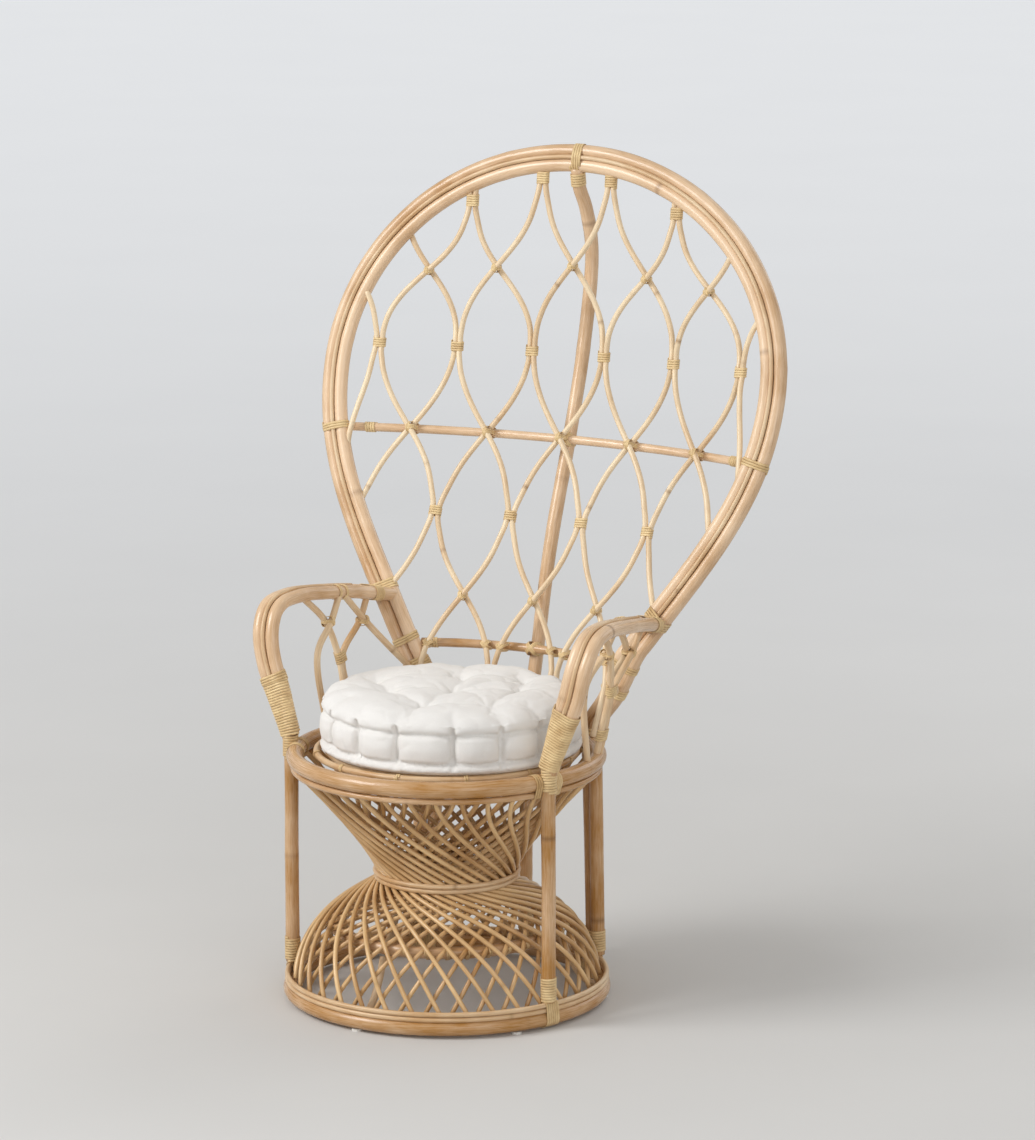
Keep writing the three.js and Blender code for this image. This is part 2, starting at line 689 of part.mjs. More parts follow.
// A place on the band round two poles, by the number of turns taken. Each end is bent in equal steps.
function roundTwoPoles(turns, spread) {
  const bends = WRAP_STEPS / 2 - 1;
  const radius = (POLE + CANE + 3 * GAP) / Math.cos(Math.PI / (2 * bends));
  const step = (turns - Math.floor(turns)) * WRAP_STEPS;
  const half = step < WRAP_STEPS / 2 ? 0 : 1;
  const within = step - (half * WRAP_STEPS) / 2;
  const turn = Math.PI / 2 + (Math.PI * Math.min(within, bends)) / bends;
  const travel = Math.max(within - bends, 0) * spread;
  const flip = half === 0 ? 1 : -1;
  const along = half * spread + flip * (radius * Math.cos(turn) + travel);
  return [along, flip * radius * Math.sin(turn)];
}

// Least clearance between one loop of a winding and the next, measured on points along it.
function leastLoopGap(curve, loops, radius) {
  const perLoop = 3 * WRAP_STEPS;
  const points = curve.getPoints(loops * perLoop);
  let least = Infinity;
  for (let i = 0; i < points.length; i += 1) {
    for (let j = i + perLoop / 2; j < Math.min(i + 2 * perLoop, points.length); j += 1) {
      least = Math.min(least, points[i].distanceTo(points[j]) - 2 * radius);
    }
  }
  return least;
}

function addArms() {
  const sides = { right: 1, left: -1 };
  for (const [name, side] of Object.entries(sides)) {
    const arm = curveThrough(mirrored(armPoints(), side));
    const pole = rod(arm, POLE, 8, ARM_STEPS);
    const fatPole = rod(arm, POLE + GAP, 8, ARM_STEPS);
    add(`front_leg_and_arm_${name}`, coped(pole, fatHoopOuter, fatHoopInner, fatHoopGroove), "pole");

    const innerPole = rod(armInnerCurve(side), POLE - GAP, 6, 15);
    const hoop = [fatHoopInner, fatHoopOuter, fatHoopGroove];
    add(`arm_inner_pole_${name}`, coped(innerPole, fatPole, fatSeatRing, ...hoop), "pole");
    add(`arm_groove_rod_${name}`, rod(armGrooveCurve(side), GROOVE_ROD, 4, 12), "rod");

    const winding = new ArmWinding(side);
    add(`arm_winding_${name}`, rod(winding, CANE, 3, WRAP_STEPS * ARM_WRAP_LOOPS), "cane", 0.6);
    const gap = leastLoopGap(winding, ARM_WRAP_LOOPS, CANE);
    console.log(`arm_winding_${name}: least gap between loops ${gap.toFixed(2)} mm`);
  }
}

// Seat.

function addSeat() {
  const legs = [1, -1].map((side) => rod(curveThrough(mirrored(armPoints(), side)), POLE + GAP, 8, ARM_STEPS));
  const seatRing = ring(SEAT_RADIUS, SEAT_HEIGHT, SEAT_POLE, 8, SEAT_RING_STEPS);
  add("seat_ring", coped(seatRing, ...legs), "pole");
  const underRod = ring(underRodRadius, underRodHeight, UNDER_ROD, 4, ROD_RING_STEPS);
  add("seat_under_rod", coped(underRod, ...legs, fatHoopOuter, fatHoopInner), "rod");

  const innerHeight = SEAT_HEIGHT + SEAT_POLE - INNER_RING;
  const names = ["seat_inner_ring_outer", "seat_inner_ring_inner"];
  INNER_RING_RADII.forEach((radius, i) => add(names[i], ring(radius, innerHeight, INNER_RING, 5, 30), "rod"));

  const bearerHeight = innerHeight - INNER_RING - BEARER_ROD - GAP;
  for (const [name, side] of Object.entries({ right: 1, left: -1 })) {
    const x = (side * BEARER_SPACING) / 2;
    const reach = Math.sqrt(SEAT_RADIUS ** 2 - x ** 2);
    const from = new THREE.Vector3(x, -reach, bearerHeight);
    const to = new THREE.Vector3(x, reach, bearerHeight);
    add(`seat_bearer_${name}`, coped(straightRod(from, to, BEARER_ROD, 6), fatSeatRing), "rod");
  }
}

// Hoop with its rear legs, and the spine.

// A value that changes smoothly with height, through pairs of a height and a value.
function byHeight(pairs, z) {
  const curve = new THREE.SplineCurve(pairs.map(([height, value]) => new THREE.Vector2(height, value)));
  let above = 0;
  let below = 1;
  for (let i = 0; i < 30; i += 1) {
    const middle = (above + below) / 2;
    if (curve.getPoint(middle).x > z) above = middle;
    else below = middle;
  }
  return curve.getPoint(below).y;
}

// How far the lattice lies behind the plane: nothing at the hoop, and most on the middle line.
function dishAt(u, z) {
  const share = Math.min(Math.abs(u) / hoopHalfWidth(z, hoopInnerInset), 1);
  return byHeight(DISH, z) * (1 - share ** 2);
}

const barOffset = 2 * LATTICE_ROD + CROSSBAR + BAR_CLEARANCE;

function addHoop() {
  add("hoop_outer_pole", coped(knotRod(hoopOuter, POLE, 8), fatSeatRing), "pole");
  add("hoop_inner_pole", coped(knotRod(hoopInner, POLE, 8), fatSeatRing, fatHoopOuter), "pole");
  add("hoop_groove_rod", knotRod(hoopGroove, GROOVE_ROD, 4), "rod");

  const barPass = dishAt(0, LOWER_BAR_HEIGHT) + barOffset + (CROSSBAR + POLE + GAP) / Math.cos(radians(LEAN));
  const hoopTop = hoopLineInside(hoopInnerInset)[0].y;
  const points = [
    onBack(0, hoopTop - POLE / 2),
    ...SPINE_BOW.map(([z, behind]) => onBack(0, z, behind)),
    onBack(0, LOWER_BAR_HEIGHT, barPass),
    around(SEAT_RADIUS + SEAT_POLE + POLE + 2 * GAP, 180, SEAT_HEIGHT),
    around(REAR_LEG_FOOT_RADIUS + 1, 180, SEAT_HEIGHT / 2),
    around(REAR_LEG_FOOT_RADIUS, 180, legFootHeight + GAP),
  ];
  add("back_spine", coped(rod(curveThrough(points), POLE, 8, 20), fatHoopInner, ...fatBars()), "pole");
}

// Crossbars and the wavy rods of the back.

function crossbar(z, radius) {
  const half = hoopHalfWidth(z, hoopInnerInset);
  const points = [-1, -0.66, -0.33, 0, 0.33, 0.66, 1].map((share) =>
    onBack(share * half, z, dishAt(share * half, z) + barOffset),
  );
  return rod(curveThrough(points), radius, 6, 12);
}

function fatBars() {
  return [UPPER_BAR_HEIGHT, LOWER_BAR_HEIGHT].map((z) => crossbar(z, CROSSBAR + GAP));
}

// Rows of the lattice from the top down, each with its heights and pitch.
function latticeRow(row, u) {
  const rows = [
    [Math.abs(u) < LATTICE_TOP_PITCH ? LATTICE_TOP : LATTICE_SIDE_TOP, LATTICE_TOP_PITCH],
    [LATTICE_UPPER_PAIR, LATTICE_UPPER_PITCH],
    [LATTICE_LOWER_PAIR, LATTICE_LOWER_PITCH],
    [LATTICE_FOOT, LATTICE_FOOT_PITCH],
  ];
  return rows[row];
}

// A node where two neighbouring rods lie side by side. The swing is 1 to the right of the column and -1 to
// the left of it, and each rod keeps to its own column's side of the pair.
function pairNode(column, swing, row) {
  const pitch = latticeRow(row, 0)[1];
  const side = LATTICE_ROD + (row === 3 ? FOOT_SPREAD : GAP);
  const u = (column + swing / 2) * pitch - swing * side;
  return [u, latticeRow(row, u)[0]];
}

// Swing between two nodes: side by side for a short run at both, and straighter between them the smaller
// the row's ease is.
function swingAt(nodes, z) {
  for (let i = 1; i < nodes.length; i += 1) {
    const [fromU, fromZ] = nodes[i - 1];
    const [toU, toZ] = nodes[i];
    if (z >= toZ) {
      const free = fromZ - toZ - 2 * LATTICE_PAIR_RUN;
      const share = THREE.MathUtils.clamp((fromZ - z - LATTICE_PAIR_RUN) / free, 0, 1);
      const eased = share - (LATTICE_EASES[i - 1] * Math.sin(2 * Math.PI * share)) / (2 * Math.PI);
      return fromU + (toU - fromU) * eased;
    }
  }
  return nodes[nodes.length - 1][0];
}

// A wavy rod through its nodes, cut off where it runs into the hoop. Depth is 1 in front of the rods that it
// crosses and -1 behind them, and nothing at the nodes. A rod that reaches the foot row lands on the seat ring.
function latticeRod(nodes, depth) {
  const inHoop = (z) => Math.abs(swingAt(nodes, z)) < hoopHalfWidth(z, hoopInnerInset);
  let top = LATTICE_UPPER_PAIR;
  while (top < nodes[0][1] + HOOP_RISE && inHoop(top)) top += 1;
  const lastZ = nodes[nodes.length - 1][1];
  let foot = LATTICE_UPPER_PAIR;
  while (foot > lastZ && inHoop(foot)) foot -= 1;
  const heights = [top];
  for (let i = 1; i < nodes.length; i += 1) {
    const between = LATTICE_STEPS.map((step) => THREE.MathUtils.lerp(nodes[i - 1][1], nodes[i][1], step));
    heights.push(...between.filter((z) => z < heights[heights.length - 1] - 8 && z > foot + 8));
  }
  heights.push(foot);
  const points = heights.map((z) => {
    const u = swingAt(nodes, z);
    return onBack(u, z, dishAt(u, z) - depth * crossingDepth(nodes, z));
  });
  if (foot <= lastZ && lastZ === LATTICE_FOOT) {
    const u = nodes[nodes.length - 1][0];
    points.push(new THREE.Vector3(u, Math.sqrt(SEAT_RADIUS ** 2 - u ** 2), SEAT_HEIGHT));
  }
  return coped(knotRod(new KnotCurve(points), LATTICE_ROD, 4), fatHoopInner, fatSeatRing);
}

// Half the thickness of two rods where they cross, easing to nothing at the pair nodes.
function crossingDepth(nodes, z) {
  const half = LATTICE_ROD + 4 * GAP;
  for (let i = 1; i < nodes.length; i += 1) {
    const [fromZ, toZ] = [nodes[i - 1][1], nodes[i][1]];
    const swing = Math.sin((Math.PI * (fromZ - z)) / (fromZ - toZ));
    if (z <= fromZ && z >= toZ) return half * Math.min(1, CROSSING_RISE * swing);
  }
  return 0;
}

function addLattice() {
  const columns = { outer_left: -2, left: -1, middle: 0, right: 1, outer_right: 2 };
  for (const [name, column] of Object.entries(columns)) {
    for (const [plane, start] of Object.entries({ front: 1, rear: -1 })) {
      const nodes = [start, -start, start, -start].map((swing, row) => pairNode(column, swing, row));
      add(`lattice_rod_${name}_${plane}`, latticeRod(nodes, start), "rod");
    }
  }
  for (const [name, side] of Object.entries({ right: 1, left: -1 })) {
    const end = [side * SHORT_ROD_END[0], SHORT_ROD_END[1]];
    const nodes = [pairNode(3 * side, side, 0), pairNode(3 * side, -side, 1), end];
    add(`lattice_rod_short_${name}`, latticeRod(nodes, 1), "rod");
  }
  const bars = { upper_crossbar: UPPER_BAR_HEIGHT, lower_crossbar: LOWER_BAR_HEIGHT };
  for (const [name, z] of Object.entries(bars)) {
    add(name, coped(crossbar(z, CROSSBAR), fatHoopInner, fatHoopOuter), "pole");
  }
}

// Arm panels: four rods a side, two of which are bound together on their way to the seat.
function addArmPanels() {
  const seatLanding = (angle) => around(SEAT_RADIUS, angle, SEAT_HEIGHT);
  const arm = armInnerCurve(1);
  const armAt = (y) => {
    let near = 0.35;
    let far = 1;
    for (let i = 0; i < 40; i += 1) {
      const middle = (near + far) / 2;
      if (arm.getPoint(middle).y < y) near = middle;
      else far = middle;
    }
    return arm.getPoint(far);
  };
  const lift = PANEL_ROD + GAP / 2;
  const landing = seatLanding(PANEL_BUNDLE_ANGLE);
  const onPanel = ([y, rise], out) => {
    const z = SEAT_HEIGHT + rise * ARM_RISE;
    const top = armAt(Math.max(y, PANEL_FRONT_TOP));
    const share = (z - SEAT_HEIGHT) / (top.z - SEAT_HEIGHT);
    return new THREE.Vector3(THREE.MathUtils.lerp(landing.x, top.x, share) + out, y, z);
  };
  const under = (y, out) => armAt(y).add(new THREE.Vector3(out, 0, 0));
  const beside = PANEL_ROD + GAP / 2;
  const shifted = (point, dy) => new THREE.Vector3(point.x, point.y + dy, point.z);
  const bundled = (dy) => [
    shifted(onPanel(PANEL_BUNDLE, lift), dy),
    shifted(landing.clone().lerp(onPanel(PANEL_BUNDLE, lift), 0.45), dy),
    shifted(landing, dy),
  ];
  const rearLanding = hoopOuter.getPoint(shareOnHoop(SEAT_HEIGHT + PANEL_REAR_LANDING * ARM_RISE));
  const rods = {
    front_bound: [under(PANEL_FRONT_TOP, lift), onPanel(PANEL_FRONT_CROSS, lift), ...bundled(-beside)],
    rear_bound: [under(PANEL_REAR_TOP, lift), onPanel(PANEL_REAR_CROSS, lift), ...bundled(beside)],
    front_free: [
      under(PANEL_MIDDLE_TOP - PANEL_MIDDLE_SPREAD, -lift),
      onPanel(PANEL_FRONT_CROSS, -lift),
      onPanel(PANEL_FRONT_BULGE, -lift),
      seatLanding(PANEL_FRONT_ANGLE),
    ],
    rear_free: [
      under(PANEL_MIDDLE_TOP + PANEL_MIDDLE_SPREAD, -lift),
      onPanel(PANEL_REAR_CROSS, -lift),
      onPanel(PANEL_REAR_BULGE, -lift - PANEL_REAR_TUCK),
      rearLanding,
    ],
  };
  for (const [sideName, side] of Object.entries({ right: 1, left: -1 })) {
    const fatArm = rod(armInnerCurve(side), POLE, 6, 15);
    const partner = rod(curveThrough(mirrored(rods.rear_bound, side)), PANEL_ROD + GAP, 4, 9);
    for (const [name, points] of Object.entries(rods)) {
      const bent = rod(curveThrough(mirrored(points, side)), PANEL_ROD, 4, 9);
      const neighbours = [fatArm, fatSeatRing, fatHoopOuter, fatHoopInner];
      if (name === "front_bound") neighbours.push(partner);
      const piece = coped(bent, ...neighbours);
      add(`arm_panel_rod_${name}_${sideName}`, piece, "rod");
    }
  }
}

// Share of the outer hoop pole at which its right side passes a height.
function shareOnHoop(z) {
  let above = 0.5;
  let below = 1;
  for (let i = 0; i < 40; i += 1) {
    const middle = (above + below) / 2;
    if (hoopOuter.getPoint(middle).z > z) above = middle;
    else below = middle;
  }
  return below;
}

// Cushion: a thick round pad with a flat underside, a crown, a drawn-in band and rows of sewn tufts.
function cushion() {
  const rows = CUSHION_PROFILE.length - 1;
  const geometry = new THREE.SphereGeometry(1, CUSHION_STEPS, rows);
  const place = geometry.attributes.position;
  const half = CUSHION_HEIGHT / 2;
  const middle = SEAT_HEIGHT + SEAT_POLE + GAP + half;
  for (let i = 0; i < place.count; i += 1) {
    const [out, up] = CUSHION_PROFILE[Math.floor(i / (CUSHION_STEPS + 1))];
    const turn = (2 * Math.PI * (i % (CUSHION_STEPS + 1))) / CUSHION_STEPS;
    const facet = Math.abs(Math.sin((CUSHION_FACETS * turn) / 2));
    const drawn = 1 - CUSHION_DRAW * (1 - facet ** 0.6) * (1 - up * up);
    const x = CUSHION_RADIUS * out * drawn * Math.cos(turn);
    const y = CUSHION_RADIUS * out * drawn * Math.sin(turn);
    const dip = up > 0 ? up * tuftDip(x, y) : 0;
    place.setXYZ(i, x + CUSHION_SHIFT[0], y + CUSHION_SHIFT[1], middle + half * up - dip);
  }
  geometry.computeVertexNormals();
  return geometry;
}

// How far the sewn tufts, in staggered rows, pull the top of the cushion down.
function tuftDip(x, y) {
  const row = CUSHION_TUFT_SPACING * Math.sqrt(0.75);
  let dip = 0;
  for (let j = -3; j <= 3; j += 1) {
    for (let i = -3; i <= 3; i += 1) {
      const tuftX = (i + (j % 2 === 0 ? 0 : 0.5)) * CUSHION_TUFT_SPACING;
      const distance = Math.hypot(x - tuftX, y - j * row);
      dip = Math.max(dip, CUSHION_TUFT_DEPTH * Math.exp(-(((2.4 * distance) / CUSHION_TUFT_SPACING) ** 2)));
    }
  }
  return dip;
}

addBase();
addWeave();
addSeat();
addHoop();
addLattice();
addArms();
addArmPanels();
add("seat_cushion", cushion(), "cotton", 0.95);
chair.position.y = -ORIGIN_BEHIND_SEAT;

export default chair;
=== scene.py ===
"""Looks of a rattan peacock chair with a loose round cushion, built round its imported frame.

Lengths are millimetres in a layout centred on the seat, and become metres in the part's frame when a
piece is made.
"""
import functools
import math
import random

import bpy
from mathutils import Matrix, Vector, noise


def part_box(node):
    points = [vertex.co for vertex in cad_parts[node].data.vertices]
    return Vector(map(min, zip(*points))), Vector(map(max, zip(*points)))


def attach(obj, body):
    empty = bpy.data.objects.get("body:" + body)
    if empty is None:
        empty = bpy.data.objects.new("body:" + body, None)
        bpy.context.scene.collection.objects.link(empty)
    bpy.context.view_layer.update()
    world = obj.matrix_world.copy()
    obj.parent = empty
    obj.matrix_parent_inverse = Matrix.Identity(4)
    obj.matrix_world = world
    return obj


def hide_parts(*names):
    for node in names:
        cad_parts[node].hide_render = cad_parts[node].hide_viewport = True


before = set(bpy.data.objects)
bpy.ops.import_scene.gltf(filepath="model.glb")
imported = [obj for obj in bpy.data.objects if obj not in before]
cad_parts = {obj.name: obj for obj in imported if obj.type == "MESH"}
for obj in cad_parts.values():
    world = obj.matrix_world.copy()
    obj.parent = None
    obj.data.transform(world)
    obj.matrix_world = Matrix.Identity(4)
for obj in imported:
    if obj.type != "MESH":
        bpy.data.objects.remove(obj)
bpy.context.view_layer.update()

# How far behind the middle of the seat the part's origin is.
ORIGIN_BEHIND_SEAT = 123.8

# Radii of the rattan stock.
GAP = 0.3
POLE = 12.5
SPOKE = 4.2
LATTICE_ROD = 5.2
PANEL_ROD = 6.0
GROOVE_ROD = 4.0
CROSSBAR = 8.0

# Base, weave and seat.
BASE_RADIUS = 278.5
BASE_POLE = 13.5
BASE_HEIGHT = 17.8
BASE_ROD = 4.5
SPOKE_COUNT = 36
SPOKE_FIRST_ANGLE = -0.5
NECK_TURN = 75.0
SKIRT_TURN = 42.0
SKIRT_TIGHTENING = 51.0
SKIRT_EASING = 14.5
WEAVE_TURN = NECK_TURN + SKIRT_TURN + SKIRT_TIGHTENING - SKIRT_EASING
NECK_RADIUS = 107.0
NECK_HEIGHT = 188.0
NECK_TOP = (268.0, 425.5)
WAIST_HEIGHT = 216.0
WAIST_ROD = 4.5
SKIRT_PULLS = ((146.7, 184.0), (261.1, 152.9))
SKIRT_FOOT = (268.5, 24.5)
SHOULDER_POLE = 11.0
BRACE_ROD = 6.5
SEAT_HEIGHT = 439.0
SEAT_RADIUS = 269.0
SEAT_POLE = 14.5
UNDER_ROD = 5.5
INNER_RING = 6.0
BEARER_ROD = 7.0
BEARER_SPACING = 174.0
BEARER_END_INSET = 12
UNDER_ROD_RADIUS = SEAT_RADIUS + 2
UNDER_ROD_HEIGHT = SEAT_HEIGHT - SEAT_POLE - UNDER_ROD - GAP
INNER_RING_RADII = (230, 206)
INNER_RING_HEIGHT = SEAT_HEIGHT + SEAT_POLE - INNER_RING
BRACE_ANGLES = (-3, 117, 237)
BRACE_BOW = (225, 20)

# Legs, hoop and spine.
LEG_FOOT_HEIGHT = 48.0
LEG_FOOT_RADIUS = 281.0
REAR_LEG_FOOT_RADIUS = 285.0
FRONT_LEG_ANGLE = 69.4
FRONT_LEG_SEAT_RADIUS = 281.5
REAR_LEG_FOOT_ANGLE = 137.5
REAR_LEG_SEAT_ANGLE = 146.0
LEAN = math.radians(15.57)
BACK_PLANE_AT_FLOOR = 75.5
HOOP_HALF_WIDTH = 463.6
HOOP_WIDEST_HEIGHT = 1060.0
HOOP_RISE = 403.5
HOOP_TANGENT = (309.4, 680.0)
HOOP_TAPER = 0.684
HOOP_PULLS = (150.0, 120.0)
HOOP_LOOSE_DROP = 80.0
HOOP_SETTLE = 6.0
GROOVE_END_HEIGHT = 630.0
DISH = ((1440, 0), (1250, 33), (1100, 60), (940, 72), (800, 60), (660, 51), (573, 50), (520, 52))
SPINE_BOW = ((1400, 16), (1357, 54), (1276, 99), (1095, 117), (935, 108), (752, 91))

# Lattice rows as a height and a pitch, from the top down.
LATTICE_ROWS = ((1408, 141), (1098, 150), (803, 147), (528, 132))
LATTICE_SIDE_TOP = 1361
FOOT_SPREAD = 2.2
SHORT_ROD_END = (405, 905)
BAR_CLEARANCE = 4.0
LATTICE_PAIR_RUN = 14.0
LATTICE_EASES = (0.7, 0.5, 0.5)
UPPER_BAR_HEIGHT = 941
LOWER_BAR_HEIGHT = 573

# Arms and their panels.
ARM_SPLAY = 70.0
ARM_WRAP_BOTTOM = 464.0
ARM_WRAP_TOP = 556.0
ARM_WRAP_TURNS = 21
ARM_SPLIT_HEIGHT = 575.0
ARM_SPLAY_HEIGHT = 586.0
ARM_KNEE_HEIGHT = 646.0
ARM_TOP_HEIGHT = 698.0
ARM_REACH_DROP = 42.0
ARM_SKIVE = 9.0
PANEL_FRONT_TOP = 14
PANEL_MIDDLE_TOP = 110
PANEL_MIDDLE_SPREAD = 8
PANEL_REAR_TOP = 198
PANEL_FRONT_CROSS = (67, 637)
PANEL_REAR_CROSS = (168, 622)
PANEL_BUNDLE = (97, 568)
PANEL_FRONT_BULGE = (11, 588)
PANEL_REAR_BULGE = (195, 570)
PANEL_REAR_TUCK = 30
PANEL_BUNDLE_ANGLE = 110
PANEL_FRONT_ANGLE = 97
PANEL_REAR_LANDING = 520

# Cushion, in mm. The profile is in shares of the radius and the height, from the underside to the top.
PAD_PROFILE = (
    (0.0, 0.0), (0.55, 0.0), (0.93, 0.0), (0.975, 0.05), (0.98, 0.12), (0.972, 0.18),
    (0.978, 0.27), (0.985, 0.37), (0.978, 0.48), (0.97, 0.565), (0.968, 0.64), (0.962, 0.74),
    (0.925, 0.84), (0.85, 0.9), (0.6, 0.93), (0.3, 0.945), (0.0, 0.95),
)
CUSHION_TURN = 29.6
CUSHION_VOXEL = 5.0
PAD_COLUMNS = 160
TUFT_HOLD = 7
CLOTH_STIFFNESS = 12
CLOTH_BENDING = 0.4
TUFT_COUNTS = (2, 3, 3)
TUFT_SPACING = 124.0
TUFT_ROW = 112.0
TUFT_STRAY = 13.0
TUFT_DEPTH = 22.0
TUFT_REACH = 64.0
VALLEY_DEPTH = 12.0
VALLEY_REACH = 52.0
CREASE_DEPTH = 3.0
RIM_DROP = 8.0
RIM_WIDTH = 30
STITCH_COUNT = 16
STITCH_DEPTH = 17.0
SEAM_DEPTH = 13.0
SEAM_WIDTH = 4.0
SEAM_BOW = 0.16
TUCK_WIDTH = 5.0
PINCH_ABOVE = 15.0
PINCH_BELOW = 9.0
BAND_SEAMS = (67.0, 22.0)
CUSHION_PRESSURE = 4.0
SIM_FRAMES = 20
SWELL_LIMIT = 14.0
WANDER = 16.0
WRINKLE_DEPTH = 2.1
CUSHION_TOP = 108.0

# Tones of the pieces, against 0 for the middle of their finish. The leg tone is that of poles below the seat:
# partly their own browner colour and partly painted shade under the seat.
LEG_TONE_AND_SHADE = -0.22
SPOKE_TONE_RANGE = 0.22
TONES = {
    "base_ring": -0.28, "base_rod": -0.2, "outer_spoke": 0.14, "inner_spoke": -0.02, "waist_rod": -0.15,
    "seat_ring": -0.24, "inner_ring": -0.15, "hoop_outer": 0.26, "hoop_inner": 0.38, "hoop_groove": -0.1,
    "spine": 0.12, "lattice": 0.34, "upper_bar": 0.22, "lower_bar": -0.12,
    "arm": 0.3, "arm_inner": 0.28, "arm_groove": -0.05,
}

# Uneven thickness of a stem, and the swelling and groove at its joints, as shares of its radius.
STEM_WAVER = 0.01
JOINT_SWELL = 0.035
JOINT_GROOVE = 0.02

# Names of the two sides with their signs along x, and of the rods on the base ring.
SIDES = (("right", 1), ("left", -1))
BASE_RODS = ("base_rod_lower", "base_rod_upper")

# Cane strip for wraps, ties and lashings.
STRIP_WIDTH = 4.6
STRIP_THICKNESS = 1.1
PAIR_STRIP_WIDTH = 4.2
WINDING_THICKNESS = 2.0
LASH_WIDTH = 2.7
LASH_STRANDS = (-0.95, 0, 0.95)

# Where bands of cane lie: a spot on the back, shares of a curve, or degrees from a leg.
SPINE_BAND = (0, 1414, 10)
BAR_BAND_SHARE = 0.455
LEG_BAND_SHARES = (0.06, 1.015)
LEG_BAND_TURNS = 9
FRONT_SEAT_BANDS = (-4.5, 4.5)
REAR_SEAT_BANDS = (-7.5, 10.5)
ARM_BAND_SHARE = 0.96
ARM_END_SHARE = 0.985
BUNDLE_BAND_SHARES = (0.5, 0.8)

# Distance in metres at which half the pale background shows on the floor, and the background's light.
BACKGROUND_REACH = 4.0
BACKGROUND = (0.45, 0.472, 0.505, 1)
WORLD_STRENGTH = 0.5

# Lamps: place, aim, size, power and spread, in metres, watts and degrees.
LAMPS = {
    "key": ((-2.9, -3.4, 3.8), (0, 0, 0.7), 2.4, 84, 120),
    "fill": ((3.4, -3.0, 2.0), (0, 0, 0.7), 3.0, 42, 180),
    "rear": ((1.6, 4.2, 3.2), (0, 0, 0.8), 3.0, 18, 120),
}

# Camera fitted to the photo: lens in mm, place in metres, tilt and turn in degrees.
CAMERA_LENS = 166.96
CAMERA_PLACE = (4.2014, -7.1327 - ORIGIN_BEHIND_SEAT / 1000, 2.409)
CAMERA_TILT = 78.81
CAMERA_TURN = 29.629


class Value:
    """A shader socket that can be used in sums."""

    def __init__(self, graph, socket):
        self.graph = graph
        self.socket = socket

    def __add__(self, other):
        return self.graph.maths("ADD", self, other)

    __radd__ = __add__

    def __sub__(self, other):
        return self.graph.maths("SUBTRACT", self, other)

    def __rsub__(self, other):
        return self.graph.maths("SUBTRACT", other, self)

    def __mul__(self, other):
        return self.graph.maths("MULTIPLY", self, other)

    __rmul__ = __mul__

    def __truediv__(self, other):
        return self.graph.maths("DIVIDE", self, other)

    def __rtruediv__(self, other):
        return self.graph.maths("DIVIDE", other, self)


class Graph:
    """Nodes of one material."""

    def __init__(self, name):
        self.material = bpy.data.materials.new(name)
        self.material.use_nodes = True
        self.tree = self.material.node_tree
        self.shader = self.tree.nodes["Principled BSDF"]

    def node(self, kind, inputs, output=0, **settings):
        made = self.tree.nodes.new(kind)
        for key, setting in settings.items():
            setattr(made, key, setting)
        for key, given in inputs.items():
            self.feed(made.inputs[key], given)
        return Value(self, made.outputs[output])

    def feed(self, socket, given):
        if isinstance(given, Value):
            self.tree.links.new(given.socket, socket)
        else:
            socket.default_value = given

    def set(self, **inputs):
        for key, given in inputs.items():
            self.feed(self.shader.inputs[key.replace("_", " ")], given)

    def maths(self, operation, first, second, clamp=False):
        return self.node("ShaderNodeMath", {0: first, 1: second}, operation=operation, use_clamp=clamp)

    def clamped(self, value):
        return self.maths("ADD", value, 0.0, clamp=True)

    def vector(self, x, y, z=0.0):
        return self.node("ShaderNodeCombineXYZ", {0: x, 1: y, 2: z})

    def parts(self, vector):
        return [self.node("ShaderNodeSeparateXYZ", {0: vector}, output=i) for i in range(3)]

    def noise(self, vector, scale, detail=2.0, roughness=0.5):
        inputs = {"Vector": vector, "Scale": scale, "Detail": detail, "Roughness": roughness}
        return self.node("ShaderNodeTexNoise", inputs)

    def mix(self, factor, first, second):
        return self.node("ShaderNodeMix", {0: factor, 6: first, 7: second}, output=2, data_type="RGBA")

    def attribute(self, name):
        return self.node("ShaderNodeAttribute", {}, output=2, attribute_name=name)

    def bump(self, height, strength, distance):
        inputs = {"Height": height, "Strength": strength, "Distance": distance}
        return self.node("ShaderNodeBump", inputs)

    def uv(self):
        return self.node("ShaderNodeUVMap", {}, uv_map="length")

    def place(self):
        return self.node("ShaderNodeTexCoord", {}, output=3)


def colour(red, green, blue):
    """A colour given as it shows on a screen, 0 to 255, as linear light."""
    shares = [channel / 255 for channel in (red, green, blue)]
    linear = [s / 12.92 if s < 0.04045 else ((s + 0.055) / 1.055) ** 2.4 for s in shares]
    return (*linear, 1.0)


